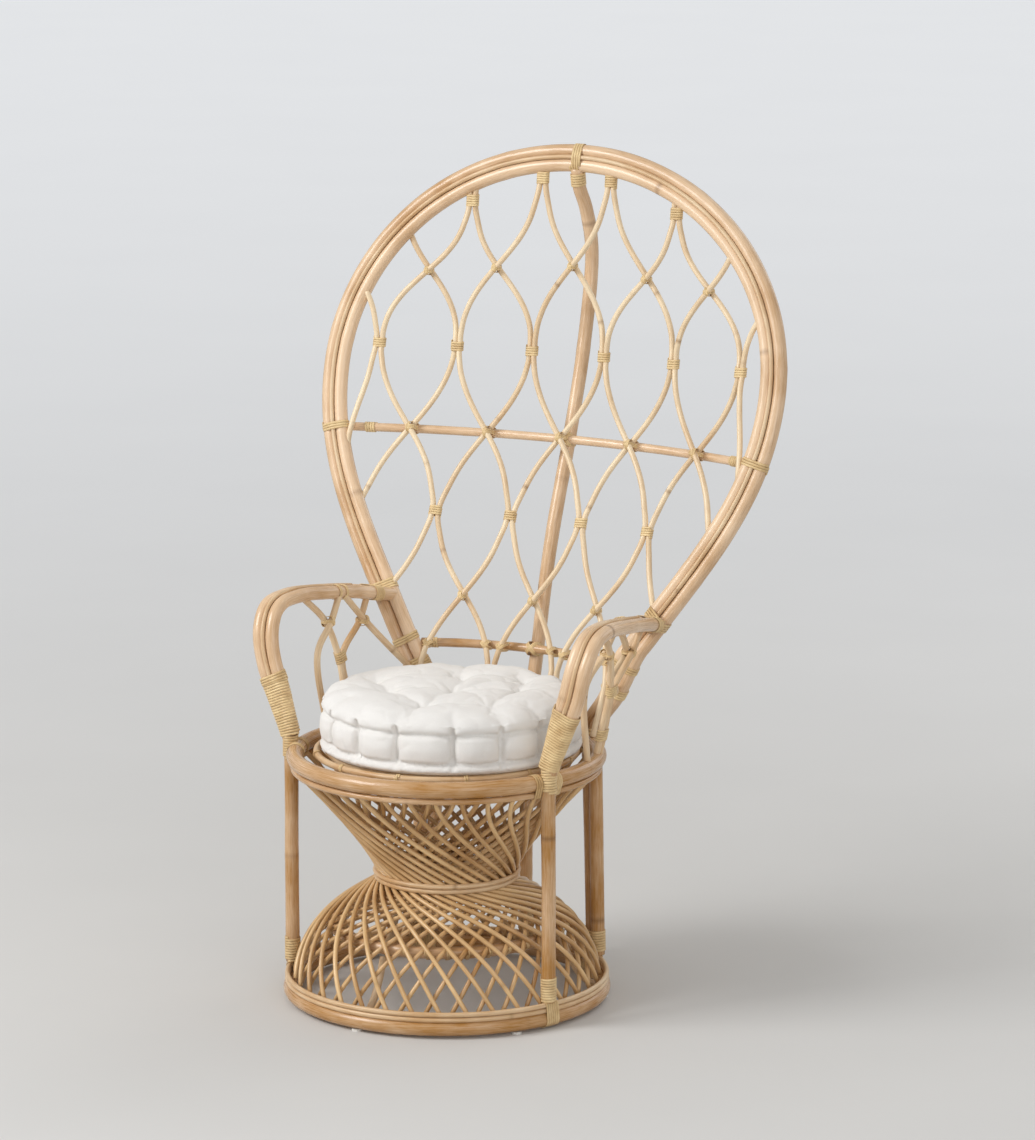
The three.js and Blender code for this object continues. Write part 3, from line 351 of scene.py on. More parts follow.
def rattan(name, pale, deep, joint, gloss):
    """Rattan with fibres along the rod, broad patches, and darker lines at its joints."""
    graph = Graph(name)
    u, v, _ = graph.parts(graph.uv())
    fibres = graph.noise(graph.vector(u * 900.0, v * 16.0), 1.0, 3.0, 0.6)
    flecks = graph.noise(graph.vector(u * 260.0, v * 38.0, 4.0), 1.0, 2.0)
    patches = graph.noise(graph.place(), 11.0, 2.0)
    tone = graph.attribute("tone")
    rings = graph.attribute("joint")
    share = (fibres - 0.5) * 0.9 + (patches - 0.5) * 1.2 + tone + (flecks - 0.5) * 0.5
    body = graph.mix(graph.clamped(share), deep, pale)
    streaks = graph.noise(graph.vector(u * 150.0, v * 9.0, 7.0), 1.0, 3.0)
    marks = graph.clamped((flecks - 0.66) * 5.0) * 0.3 + graph.clamped((streaks - 0.63) * 7.0) * 0.3
    marked = graph.mix(graph.clamped(marks), body, joint)
    ringed = graph.mix(rings * 0.62, marked, joint)
    height = fibres * 0.5 + flecks * 0.5
    normal = graph.bump(height, 0.16, 0.0009)
    graph.set(Base_Color=ringed, Normal=normal)
    graph.set(Roughness=graph.clamped(0.72 - gloss + (fibres - 0.5) * 0.25))
    graph.set(Coat_Weight=0.7 * gloss, Coat_Roughness=0.25)
    graph.shader.inputs["Specular IOR Level"].default_value = 0.4
    return graph.material


def cane(name, pale, deep):
    """Split cane with a glossy skin and lines along the strip."""
    graph = Graph(name)
    u, v, _ = graph.parts(graph.uv())
    lines = graph.noise(graph.vector(u * 2600.0, v * 20.0), 1.0, 2.0)
    patches = graph.noise(graph.place(), 60.0, 3.0)
    tone = graph.attribute("tone")
    share = lines - 0.5 + (patches - 0.5) * 1.4 + tone
    body = graph.mix(graph.clamped(share), deep, pale)
    graph.set(Base_Color=body, Normal=graph.bump(lines, 0.2, 0.0006))
    graph.set(Roughness=graph.clamped(0.45 + (patches - 0.5) * 0.3))
    graph.shader.inputs["Specular IOR Level"].default_value = 0.45
    return graph.material


def cotton(name, pale, deep):
    """Plain cotton weave, with slightly uneven yarns."""
    graph = Graph(name)
    x, y, z = graph.parts(graph.place())
    warp = graph.node("ShaderNodeMath", {0: (x + z * 0.6) * 5200.0}, operation="SINE")
    weft = graph.node("ShaderNodeMath", {0: (y + z * 0.8) * 5200.0}, operation="SINE")
    yarns = graph.noise(graph.place(), 420.0, 2.0)
    cloud = graph.noise(graph.place(), 14.0, 3.0)
    weave = warp * weft
    share = 0.62 + (cloud - 0.5) * 0.7 + (yarns - 0.5) * 0.5 + weave * 0.05
    body = graph.mix(graph.clamped(share), deep, pale)
    height = weave * 0.35 + yarns * 0.9
    graph.set(Base_Color=body, Normal=graph.bump(height, 0.32, 0.0009))
    graph.set(Roughness=graph.clamped(0.9 + (yarns - 0.5) * 0.1))
    graph.shader.inputs["Sheen Weight"].default_value = 0.15
    graph.shader.inputs["Specular IOR Level"].default_value = 0.2
    return graph.material


def plastic(name, shade):
    graph = Graph(name)
    grain = graph.noise(graph.place(), 900.0, 2.0)
    body = graph.mix(graph.clamped(grain), shade, tuple(0.85 * channel for channel in shade[:3]) + (1.0,))
    graph.set(Base_Color=body, Normal=graph.bump(grain, 0.1, 0.0003), Roughness=0.5)
    return graph.material


POLE_DARK = colour(112, 74, 42)
ROD_DARK = colour(140, 100, 62)
materials = {
    "rattan_pole": rattan("rattan_pole", colour(236, 206, 172), colour(174, 124, 61), POLE_DARK, 0.44),
    "rattan_rod": rattan("rattan_rod", colour(243, 222, 188), colour(195, 151, 100), ROD_DARK, 0.3),
    "rattan_spoke": rattan("rattan_spoke", colour(233, 197, 145), colour(167, 120, 67), POLE_DARK, 0.4),
    "cane": cane("cane", colour(237, 210, 160), colour(184, 146, 95)),
    "cushion_cotton": cotton("cushion_cotton", colour(241, 239, 236), colour(228, 225, 221)),
    "glide_plastic": plastic("glide_plastic", colour(232, 230, 224)),
}


class Spline:
    """A smooth curve through points, with shares from 0 at the first to 1 at the last."""

    def __init__(self, points):
        self.points = [Vector(p) for p in points]

    def at(self, share):
        count = len(self.points)
        spot = min(max(share, 0.0), 1.0) * (count - 1)
        first = min(int(spot), count - 2)
        weight = spot - first
        start, end = self.points[first], self.points[first + 1]
        before = self.points[first - 1] if first > 0 else start * 2 - end
        after = self.points[first + 2] if first + 2 < count else end * 2 - start
        spans = ((before, start), (start, end), (end, after))
        early, gap, late = (max((b - a).length, 1e-4) ** 0.5 for a, b in spans)
        leave = (start - before) / early - (end - before) / (early + gap) + (end - start) / gap
        reach = (end - start) / gap - (after - start) / (gap + late) + (after - end) / late
        square = weight * weight
        cube = square * weight
        held = start * (2 * cube - 3 * square + 1) + end * (3 * square - 2 * cube)
        return held + leave * gap * (cube - 2 * square + weight) + reach * gap * (cube - square)

    def tangent(self, share):
        return (self.at(min(share + 1e-3, 1.0)) - self.at(max(share - 1e-3, 0.0))).normalized()

    def spaced(self, step):
        """Points about one step apart along the curve."""
        fine = [self.at(i / (24 * len(self.points))) for i in range(24 * len(self.points) + 1)]
        return respaced(fine, step)


def respaced(line, step):
    lengths = [0.0]
    for first, second in zip(line, line[1:]):
        lengths.append(lengths[-1] + (second - first).length)
    count = max(2, round(lengths[-1] / step))
    points = []
    spot = 0
    for i in range(count + 1):
        target = lengths[-1] * i / count
        while spot < len(lengths) - 2 and lengths[spot + 1] < target:
            spot += 1
        span = max(lengths[spot + 1] - lengths[spot], 1e-9)
        points.append(line[spot].lerp(line[spot + 1], min(max((target - lengths[spot]) / span, 0.0), 1.0)))
    return points


def frames(points, closed=False):
    """Tangent and two side directions at each point, carried along without twist."""
    count = len(points)
    found = []
    side = None
    for i, point in enumerate(points):
        ahead = points[(i + 1) % count] if closed else points[min(i + 1, count - 1)]
        behind = points[i - 1] if closed else points[max(i - 1, 0)]
        tangent = (ahead - behind).normalized()
        if side is None:
            guide = Vector((0, 0, 1)) if abs(tangent.z) < 0.9 else Vector((1, 0, 0))
            side = guide.cross(tangent)
        side = (side - tangent * side.dot(tangent)).normalized()
        found.append((tangent, side, tangent.cross(side)))
    return found


class Piece:
    """Mesh of one piece, gathered from tubes and strips."""

    def __init__(self, name, slot, lift=0.0):
        self.name = name
        self.slot = slot
        self.lift = lift
        self.random = random.Random(f"{name} 0")
        self.verts = []
        self.faces = []
        self.uvs = []
        self.tone = []
        self.joint = []

    def tube(self, points, radius, sides, closed=False, joints=300.0, tone=0.0):
        """A round rod along points, with slightly uneven thickness and a ring at each joint of the stem."""
        draw = self.random
        offset = draw.uniform(0, 40)
        shade = 0.5 + draw.uniform(-0.1, 0.1)
        tone_at = tone if callable(tone) else lambda point: tone
        phases = [draw.uniform(0, 6.28) for _ in range(3)]
        marks = []
        place = draw.uniform(0.1, 0.9) * joints
        reach = sum((b - a).length for a, b in zip(points, points[1:]))
        while place < reach:
            marks.append(place)
            place += joints * draw.uniform(0.75, 1.3)
        start = len(self.verts)
        along = 0.0
        alongs = []
        for i, (point, (_, side, up)) in enumerate(zip(points, frames(points, closed))):
            if i:
                along += (point - points[i - 1]).length
            alongs.append(along / 1000 + offset)
            wave = math.sin(along / 61 + phases[0]) + 0.6 * math.sin(along / 23 + phases[1])
            near = min((abs(along - mark) for mark in marks), default=1e9)
            ring = math.exp(-((near / 1.3) ** 2))
            swell = math.exp(-((near / 9.0) ** 2))
            thick = radius * (1 + STEM_WAVER * wave + JOINT_SWELL * swell - JOINT_GROOVE * ring)
            tint = shade + tone_at(point) + 0.05 * math.sin(along / 140 + phases[2])
            for j in range(sides):
                turn = 2 * math.pi * j / sides
                self.verts.append(point + (side * math.cos(turn) + up * math.sin(turn)) * thick)
                self.tone.append(tint)
                self.joint.append(ring)
        count = len(points)
        girth = 2 * math.pi * radius / 1000
        last = count if closed else count - 1
        for i in range(last):
            low = start + i * sides
            high = start + ((i + 1) % count) * sides
            top = alongs[i + 1] if i + 1 < count else alongs[i] + 0.008
            for j in range(sides):
                k = (j + 1) % sides
                self.faces.append((low + j, low + k, high + k, high + j))
                left, right = girth * j / sides, girth * (j + 1) / sides
                self.uvs += [(left, alongs[i]), (right, alongs[i]), (right, top), (left, top)]
        if not closed:
            self.cap(points[0], points[0] - points[1], start, sides, radius, True, alongs[0])
            end = start + last * sides
            self.cap(points[-1], points[-1] - points[-2], end, sides, radius, False, alongs[-1])

    def cap(self, middle, out, first, sides, radius, reverse, along):
        tip = len(self.verts)
        out = out.normalized()
        for j in range(sides):
            rim = self.verts[first + j]
            self.verts.append(middle + (rim - middle) * 0.82 + out * radius * 0.12)
        self.verts.append(middle + out * radius * 0.14)
        self.tone += [self.tone[first] - 0.25] * (sides + 1)
        self.joint += [0.25] * (sides + 1)
        for j in range(sides):
            k = (j + 1) % sides
            rim = [first + j, first + k, tip + k, tip + j]
            end = [tip + j, tip + k, tip + sides]
            self.faces.append(tuple(rim[::-1] if reverse else rim))
            self.faces.append(tuple(end[::-1] if reverse else end))
            self.uvs += [(0.001 * j, along), (0.001 * k, along), (0.001 * k, along), (0.001 * j, along)]
            self.uvs += [(0.001 * j, along), (0.001 * k, along), (0.0, along)]

    def strip(self, points, outs, width, thickness=STRIP_THICKNESS):
        """A flat cane strip along points, with its skin facing out."""
        shade = 0.5 + self.lift + self.random.uniform(-0.2, 0.2)
        offset = self.random.uniform(0, 40)
        profile = ((-0.5, 0.0), (-0.42, 0.75), (0.0, 1.0), (0.42, 0.75), (0.5, 0.0))
        start = len(self.verts)
        along = 0.0
        alongs = []
        count = len(points)
        for i, (point, out) in enumerate(zip(points, outs)):
            if i:
                along += (point - points[i - 1]).length
            alongs.append(along / 1000 + offset)
            tangent = (points[min(i + 1, count - 1)] - points[max(i - 1, 0)]).normalized()
            out = (out - tangent * out.dot(tangent)).normalized()
            across = tangent.cross(out)
            for wide, thick in profile:
                self.verts.append(point + across * wide * width + out * thick * thickness)
                # The strip's edges where it lies on the rod are 0.2 darker: painted shade in the crease under
                # the strip.
                self.tone.append(shade - (0.2 if thick == 0.0 else 0.0))
                self.joint.append(0.0)
        size = len(profile)
        for i in range(count - 1):
            for j in range(size):
                k = (j + 1) % size
                low = start + i * size
                self.faces.append((low + j, low + size + j, low + size + k, low + k))
                left, right = width * j / size / 1000, width * (j + 1) / size / 1000
                near, far = alongs[i], alongs[i + 1]
                self.uvs += [(left, near), (left, far), (right, far), (right, near)]
        self.faces.append(tuple(start + j for j in range(size)))
        self.uvs += [(0.0, alongs[0])] * size
        self.faces.append(tuple(start + (count - 1) * size + j for j in reversed(range(size))))
        self.uvs += [(0.0, alongs[-1])] * size

    def wrap(self, centre, axis, circles, turns, width):
        """Turns of cane round a bundle of circles, each an offset from the centre and a radius."""
        axis = axis.normalized()
        guide = Vector((0, 0, 1)) if abs(axis.z) < 0.9 else Vector((0, 1, 0))
        side = guide.cross(axis).normalized()
        up = axis.cross(side)
        flat = [(offset.dot(side), offset.dot(up), radius) for offset, radius in circles]
        pitch = width * 1.03
        steps = 26
        first = self.random.uniform(0, 6.28)
        points = []
        outs = []
        for i in range(int(turns * steps) + 1):
            turn = first + 2 * math.pi * i / steps
            across, rise = math.cos(turn), math.sin(turn)
            far = max(flat, key=lambda circle: circle[0] * across + circle[1] * rise + circle[2])
            out = side * across + up * rise
            travel = pitch * (i / steps - turns / 2)
            points.append(centre + side * far[0] + up * far[1] + out * (far[2] + 0.15) + axis * travel)
            outs.append(out)
        self.strip(points, outs, width)

    def tie(self, centre, along, out, reach, depth, width):
        """One loop of cane over a crossing, flat against it front and back."""
        along = along.normalized()
        out = (out - along * out.dot(along)).normalized()
        across = along.cross(out)
        points = []
        outs = []
        steps = 28
        for i in range(steps + 1):
            turn = 2 * math.pi * i / steps
            spot = Vector((math.cos(turn), math.sin(turn)))
            points.append(centre + along * reach * abs(spot.x) ** 0.7 * math.copysign(1, spot.x)
                          + out * depth * abs(spot.y) ** 0.5 * math.copysign(1, spot.y)
                          + across * width * 0.35 * (i / steps - 0.5))
            outs.append(along * spot.x * depth + out * spot.y * reach)
        self.strip(points, outs, width)

    def make(self, *nodes):
        """Makes the object, which moves with the frame and stands for CAD nodes if any are named."""
        mesh = bpy.data.meshes.new(self.name)
        moved = [(v.x / 1000, (v.y - ORIGIN_BEHIND_SEAT) / 1000, v.z / 1000) for v in self.verts]
        mesh.from_pydata(moved, [], self.faces)
        layer = mesh.uv_layers.new(name="length")
        layer.data.foreach_set("uv", [number for pair in self.uvs for number in pair])
        for name, numbers in (("tone", self.tone), ("joint", self.joint)):
            mesh.attributes.new(name, "FLOAT", "POINT").data.foreach_set("value", numbers)
        mesh.polygons.foreach_set("use_smooth", [True] * len(mesh.polygons))
        mesh.update()
        mesh.materials.append(materials[self.slot])
        obj = bpy.data.objects.new(self.name, mesh)
        bpy.context.scene.collection.objects.link(obj)
        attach(obj, "frame")
        if nodes:
            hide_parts(*nodes)
        return obj


def tone_with_shade_below_seat(upper):
    """Tone of a pole that is darker below the seat than above it, partly from its own browner colour and
    partly from painted shade under the seat.
    """
    def at(point):
        share = min(max((point.z - SEAT_HEIGHT) / 120, 0.0), 1.0)
        return LEG_TONE_AND_SHADE + (upper - LEG_TONE_AND_SHADE) * share
    return at


def around(radius, angle, z):
    """A point at an angle round the seat, from the front towards +X."""
    turn = math.radians(angle)
    return Vector((radius * math.sin(turn), -radius * math.cos(turn), z))


def on_back(u, z, behind=0.0):
    return Vector((u, BACK_PLANE_AT_FLOOR + z * math.tan(LEAN) + behind, z))


def mirrored(points, side):
    return [Vector((side * p.x, p.y, p.z)) for p in points]


def circle(radius, z, count):
    return [around(radius, 360 * i / count, z) for i in range(count)]


def bezier(corners, t):
    """Point of a cubic curve that starts at the first corner and ends at the last."""
    shares = ((1 - t) ** 3, 3 * t * (1 - t) ** 2, 3 * t * t * (1 - t), t ** 3)
    return tuple(sum(share * corner[i] for share, corner in zip(shares, corners)) for i in (0, 1))


def halved(holds, first, last, rounds=30):
    """Place between first and last at which a test stops holding, found by halving."""
    for _ in range(rounds):
        middle = (first + last) / 2
        if holds(middle):
            first = middle
        else:
            last = middle
    return last


def node_radius(node, tube):
    """Middle radius of a CAD ring, read from its box."""
    low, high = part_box(node)
    return (high.x - low.x) * 500 - tube


def node_height(node):
    low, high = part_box(node)
    return (low.z + high.z) * 500


# Base.

def rod_piece(name, slot, points, radius, sides, **finish):
    """One rod that stands for the CAD node of its name."""
    piece = Piece(name + "_look", slot)
    piece.tube(points, radius, sides, **finish)
    piece.make(name)


def ring_piece(name, slot, radius, z, tube, sides, tone=0.0):
    points = circle(radius, z, max(90, int(radius)))
    rod_piece(name, slot, points, tube, sides, closed=True, joints=330.0, tone=tone)


def rod_ring(name, tube, tone):
    """A ring of thin rod, with its size read from its CAD node."""
    ring_piece(name, "rattan_rod", node_radius(name, tube), node_height(name), tube, 10, tone)


def build_base():
    ring_piece("base_ring", "rattan_pole", BASE_RADIUS, BASE_HEIGHT, BASE_POLE, 20, TONES["base_ring"])
    for name in BASE_RODS:
        rod_ring(name, BASE_ROD, TONES["base_rod"])


# Woven hourglass.

NECK_FLARE = math.sqrt(NECK_TOP[0] ** 2 - NECK_RADIUS ** 2) / (NECK_TOP[1] - NECK_HEIGHT)


def neck_radius(z):
    return math.hypot(NECK_RADIUS, NECK_FLARE * (z - NECK_HEIGHT))


def weave_profile(s):
    if s <= 1:
        z = SEAT_HEIGHT + (WAIST_HEIGHT - SEAT_HEIGHT) * s
        return neck_radius(z), z
    return bezier(((neck_radius(WAIST_HEIGHT), WAIST_HEIGHT), *SKIRT_PULLS, SKIRT_FOOT), s - 1)


def weave_turn(s):
    if s > 1:
        left = 2 - s
        return WEAVE_TURN - SKIRT_TURN * left - SKIRT_TIGHTENING * left ** 4 + SKIRT_EASING * left ** 8
    return NECK_TURN * s ** 2.4


def weave_offset(s, offset):
    ahead = weave_profile(min(s + 0.01, 2))
    behind = weave_profile(max(s - 0.01, 0))
    along = Vector((ahead[0] - behind[0], ahead[1] - behind[1])).normalized()
    radius, z = weave_profile(s)
    return radius - along.y * offset, z + along.x * offset


def spoke_points(side, number, top=0.07, foot=1.965, count=70):
    """One spoke. Side 1 lies outside the middle surface and side -1 inside it."""
    points = []
    for i in range(count + 1):
        s = top + (foot - top) * i / count
        radius, z = weave_offset(s, side * (SPOKE + 1.75 * GAP))
        angle = side * (SPOKE_FIRST_ANGLE + 360 * number / SPOKE_COUNT - WEAVE_TURN + weave_turn(s))
        points.append(around(radius, angle, z))
    return respaced(points, 9.0)


def build_weave():
    for name, side in (("outer", 1), ("inner", -1)):
        piece = Piece(f"weave_spokes_{name}_look", "rattan_spoke")
        for number in range(SPOKE_COUNT):
            tone = TONES[name + "_spoke"] + piece.random.uniform(-SPOKE_TONE_RANGE, SPOKE_TONE_RANGE)
            piece.tube(spoke_points(side, number), SPOKE, 9, joints=420.0, tone=tone)
        piece.make(f"weave_spokes_{name}_front", f"weave_spokes_{name}_rear")
    for name in ("waist_rod_lower", "waist_rod_upper"):
        rod_ring(name, WAIST_ROD, TONES["waist_rod"])
    name = "skirt_shoulder_ring"
    radius = node_radius(name, SHOULDER_POLE)
    height = node_height(name)
    ring_piece(name, "rattan_pole", radius, height, SHOULDER_POLE, 16)
    bow_radius, bow_height = BRACE_BOW
    for number, angle in enumerate(BRACE_ANGLES, 1):
        start = around(BASE_RADIUS, angle, BASE_HEIGHT)
        bow = around(bow_radius, angle, bow_height)
        end = around(radius, angle, height)
        shares = (0.1, 0.25, 0.4, 0.55, 0.7, 0.85, 0.93)
        points = [start.lerp(bow, share).lerp(bow.lerp(end, share), share) for share in shares]
        rod_piece(f"skirt_brace_{number}", "rattan_rod", Spline(points).spaced(5.0), BRACE_ROD, 12)


# Seat.

def build_seat():
    tone = TONES["seat_ring"]
    ring_piece("seat_ring", "rattan_pole", SEAT_RADIUS, SEAT_HEIGHT, SEAT_POLE, 20, tone)
    ring_piece("seat_under_rod", "rattan_pole", UNDER_ROD_RADIUS, UNDER_ROD_HEIGHT, UNDER_ROD, 12, tone)
    for name, radius in zip(("seat_inner_ring_outer", "seat_inner_ring_inner"), INNER_RING_RADII):
        ring_piece(name, "rattan_rod", radius, INNER_RING_HEIGHT, INNER_RING, 12, TONES["inner_ring"])
    z = INNER_RING_HEIGHT - INNER_RING - BEARER_ROD - GAP
    for name, side in SIDES:
        x = side * BEARER_SPACING / 2
        reach = math.sqrt(SEAT_RADIUS ** 2 - x ** 2) - BEARER_END_INSET
        ends = [Vector((x, -reach, z)), Vector((x, reach, z))]
        rod_piece(f"seat_bearer_{name}", "rattan_rod", respaced(ends, 10.0), BEARER_ROD, 12)


# Hoop and spine.

def hoop_line():
    """Right half of the outer hoop pole's middle line, from the top of the hoop down."""
    line = []
    for step in range(30):
        angle = math.radians(90 - 3 * step)
        line.append((HOOP_HALF_WIDTH * math.cos(angle), HOOP_WIDEST_HEIGHT + HOOP_RISE * math.sin(angle)))
    u, z = HOOP_TANGENT
    corners = (
        (HOOP_HALF_WIDTH, HOOP_WIDEST_HEIGHT),
        (HOOP_HALF_WIDTH, HOOP_WIDEST_HEIGHT - HOOP_PULLS[0]),
        (u + HOOP_TAPER * HOOP_PULLS[1], z + HOOP_PULLS[1]),
        (u, z),
    )
    line += [bezier(corners, step / 20) for step in range(21)]
    for share in (0.25, 0.5, 0.75, 1, 1.25, 1.5):
        drop = share * HOOP_LOOSE_DROP
        line.append((u - HOOP_TAPER * drop, z - drop))
    return line


@functools.lru_cache(maxsize=None)
def hoop_line_inside(inset):
    """The same line moved inwards on the leaning plane."""
    line = hoop_line()
    lean = math.cos(LEAN)
    moved = []
    for i, (u, z) in enumerate(line):
        before = line[i - 1] if i else (-line[1][0], line[1][1])
        after = line[min(i + 1, len(line) - 1)]
        along = Vector((after[0] - before[0], (after[1] - before[1]) / lean)).normalized()
        moved.append((u + along.y * inset, z - along.x * inset * lean))
    return moved


def hoop_half_width(z, inset):
    line = hoop_line_inside(inset)
    if z >= line[0][1]:
        return 0.0
    for (from_u, from_z), (to_u, to_z) in zip(line, line[1:]):
        if to_z <= z:
            return from_u + (to_u - from_u) * (from_z - z) / (from_z - to_z)
    return line[-1][0]


HOOP_INNER_INSET = 2 * POLE + GAP
HOOP_GROOVE_INSET = POLE + GAP / 2
BESIDE_ANGLE = math.degrees((2 * POLE + 2 * GAP) / LEG_FOOT_RADIUS)
GROOVE_LIFT = math.sqrt((POLE + GROOVE_ROD + 2 * GAP) ** 2 - (POLE + GAP / 2) ** 2)
FORWARD = Vector((0, -math.cos(LEAN), math.sin(LEAN)))


def hoop_half(inset, end_height):
    return [on_back(u, z) for u, z in hoop_line_inside(inset) if z > end_height]


def whole_hoop(half):
    return Spline(mirrored(half[:0:-1], -1) + half)


def hoop_pole(inset, beside):
    half = hoop_half(inset, HOOP_TANGENT[1] - 1.2 * HOOP_LOOSE_DROP)
    reach = SEAT_RADIUS + SEAT_POLE + POLE + 2 * GAP
    seat_angle = REAR_LEG_SEAT_ANGLE + beside
    foot_angle = REAR_LEG_FOOT_ANGLE + beside
    seat_pass = around(reach, seat_angle, SEAT_HEIGHT + SEAT_POLE)
    between = half[-1].lerp(seat_pass, 0.55)
    between.x += HOOP_SETTLE
    half += [between, seat_pass]
    half.append(around(reach - POLE / 2, (2 * seat_angle + foot_angle) / 3, SEAT_HEIGHT - 3 * SEAT_POLE))
    half.append(around(REAR_LEG_FOOT_RADIUS, (seat_angle + 4 * foot_angle) / 5, SEAT_HEIGHT / 2))
    half.append(around(REAR_LEG_FOOT_RADIUS, foot_angle, LEG_FOOT_HEIGHT))
    return whole_hoop(half)


hoop_outer = hoop_pole(0.0, 0.0)
hoop_inner = hoop_pole(HOOP_INNER_INSET, BESIDE_ANGLE)


def by_height(pairs, z):
    """A value that changes smoothly with height."""
    line = Spline([(height, value, 0.0) for height, value in pairs])
    return line.at(halved(lambda share: line.at(share).x > z, 0.0, 1.0, 24)).y


@functools.lru_cache(maxsize=None)
def dish_depth(z):
    return by_height(DISH, z)


def dish_at(u, z):
    share = min(abs(u) / max(hoop_half_width(z, HOOP_INNER_INSET), 1.0), 1.0)
    return dish_depth(round(z)) * (1 - share ** 2)


BAR_OFFSET = 2 * LATTICE_ROD + CROSSBAR + BAR_CLEARANCE


def spine_curve():
    bar_pass = dish_at(0, LOWER_BAR_HEIGHT) + BAR_OFFSET + (CROSSBAR + POLE + GAP) / math.cos(LEAN)
    points = [on_back(0, hoop_line_inside(HOOP_INNER_INSET)[0][1] - POLE / 2)]
    points += [on_back(0, z, behind) for z, behind in SPINE_BOW]
    points.append(on_back(0, LOWER_BAR_HEIGHT, bar_pass))
    points.append(around(SEAT_RADIUS + SEAT_POLE + POLE + 2 * GAP, 180, SEAT_HEIGHT))
    points.append(around(REAR_LEG_FOOT_RADIUS + 1, 180, SEAT_HEIGHT / 2))
    points.append(around(REAR_LEG_FOOT_RADIUS, 180, LEG_FOOT_HEIGHT))
    return Spline(points)


def build_hoop():
    for name, curve in (("outer", hoop_outer), ("inner", hoop_inner)):
        tone = tone_with_shade_below_seat(TONES["hoop_" + name])
        rod_piece(f"hoop_{name}_pole", "rattan_pole", curve.spaced(8.0), POLE, 18, joints=380.0, tone=tone)
    half = [point + FORWARD * GROOVE_LIFT for point in hoop_half(HOOP_GROOVE_INSET, GROOVE_END_HEIGHT)]
    groove = whole_hoop(half).spaced(8.0)
    tone = TONES["hoop_groove"]
    rod_piece("hoop_groove_rod", "rattan_rod", groove, GROOVE_ROD, 10, joints=500.0, tone=tone)
    spine = spine_curve().spaced(8.0)
    rod_piece("back_spine", "rattan_pole", spine, POLE, 18, joints=240.0, tone=tone_with_shade_below_seat(TONES["spine"]))


# Lattice.

def crossbar_curve(z):
    half = hoop_half_width(z, HOOP_INNER_INSET)
    shares = (-0.99, -0.66, -0.33, 0, 0.33, 0.66, 0.99)
    return Spline([on_back(s * half, z, dish_at(s * half, z) + BAR_OFFSET) for s in shares])


def pair_node(column, swing, row):
    height, pitch = LATTICE_ROWS[row]
    side = LATTICE_ROD + (FOOT_SPREAD if row == 3 else GAP)
    u = (column + swing / 2) * pitch - swing * side
    if row == 0 and abs(u) >= LATTICE_ROWS[0][1]:
        height = LATTICE_SIDE_TOP
    return u, height


def swing_at(nodes, z):
    for (from_u, from_z), (to_u, to_z), ease in zip(nodes, nodes[1:], LATTICE_EASES):
        if z >= to_z:
            free = from_z - to_z - 2 * LATTICE_PAIR_RUN
            share = min(max((from_z - z - LATTICE_PAIR_RUN) / free, 0.0), 1.0)
            return from_u + (to_u - from_u) * (share - ease * math.sin(2 * math.pi * share) / (2 * math.pi))
    return nodes[-1][0]


def crossing_depth(nodes, z):
    for (_, from_z), (_, to_z) in zip(nodes, nodes[1:]):
        if to_z <= z <= from_z:
            return (LATTICE_ROD + 4 * GAP) * min(1, 2.2 * math.sin(math.pi * (from_z - z) / (from_z - to_z)))
    return 0.0


def lattice_spot(nodes, depth, z):
    """Middle of a lattice rod at a height."""
    u = swing_at(nodes, z)
    return on_back(u, z, dish_at(u, z) - depth * crossing_depth(nodes, z))


def lattice_points(nodes, depth):
    """A wavy rod from the hoop down to the hoop or the seat."""
    def in_hoop(height):
        return abs(swing_at(nodes, height)) < hoop_half_width(height, HOOP_INNER_INSET) - POLE * 0.6

    top = LATTICE_ROWS[1][0]
    while top < nodes[0][1] + HOOP_RISE and in_hoop(top):
        top += 1
    foot = LATTICE_ROWS[1][0]
    while foot > nodes[-1][1] and in_hoop(foot):
        foot -= 1
    count = max(8, round((top - foot) / 15))
    points = [lattice_spot(nodes, depth, top + (foot - top) * i / count) for i in range(count + 1)]
    if foot <= nodes[-1][1] and nodes[-1][1] == LATTICE_ROWS[3][0]:
        u = nodes[-1][0]
        points.append(Vector((u, math.sqrt(SEAT_RADIUS ** 2 - u ** 2), SEAT_HEIGHT + SEAT_POLE)))
    return points


def lattice_rods():
    """Name, nodes and depth of every rod of the back."""
    rods = []
    columns = {"outer_left": -2, "left": -1, "middle": 0, "right": 1, "outer_right": 2}
    for name, column in columns.items():
        for plane, start in (("front", 1), ("rear", -1)):
            swings = (start, -start, start, -start)
            nodes = [pair_node(column, swing, row) for row, swing in enumerate(swings)]
            rods.append((f"lattice_rod_{name}_{plane}", nodes, start))
    for name, side in SIDES:
        nodes = [pair_node(3 * side, side, 0), pair_node(3 * side, -side, 1)]
        nodes.append((side * SHORT_ROD_END[0], SHORT_ROD_END[1]))
        rods.append((f"lattice_rod_short_{name}", nodes, 1))
    return rods


def build_lattice():
    for name, nodes, depth in lattice_rods():
        points = Spline(lattice_points(nodes, depth)).spaced(6.0)
        rod_piece(name, "rattan_rod", points, LATTICE_ROD, 12, joints=360.0, tone=TONES["lattice"])
    for name, z in (("upper", UPPER_BAR_HEIGHT), ("lower", LOWER_BAR_HEIGHT)):
        points = crossbar_curve(z).spaced(7.0)
        tone = TONES[name + "_bar"]
        rod_piece(f"{name}_crossbar", "rattan_pole", points, CROSSBAR, 14, joints=260.0, tone=tone)


# Arms.

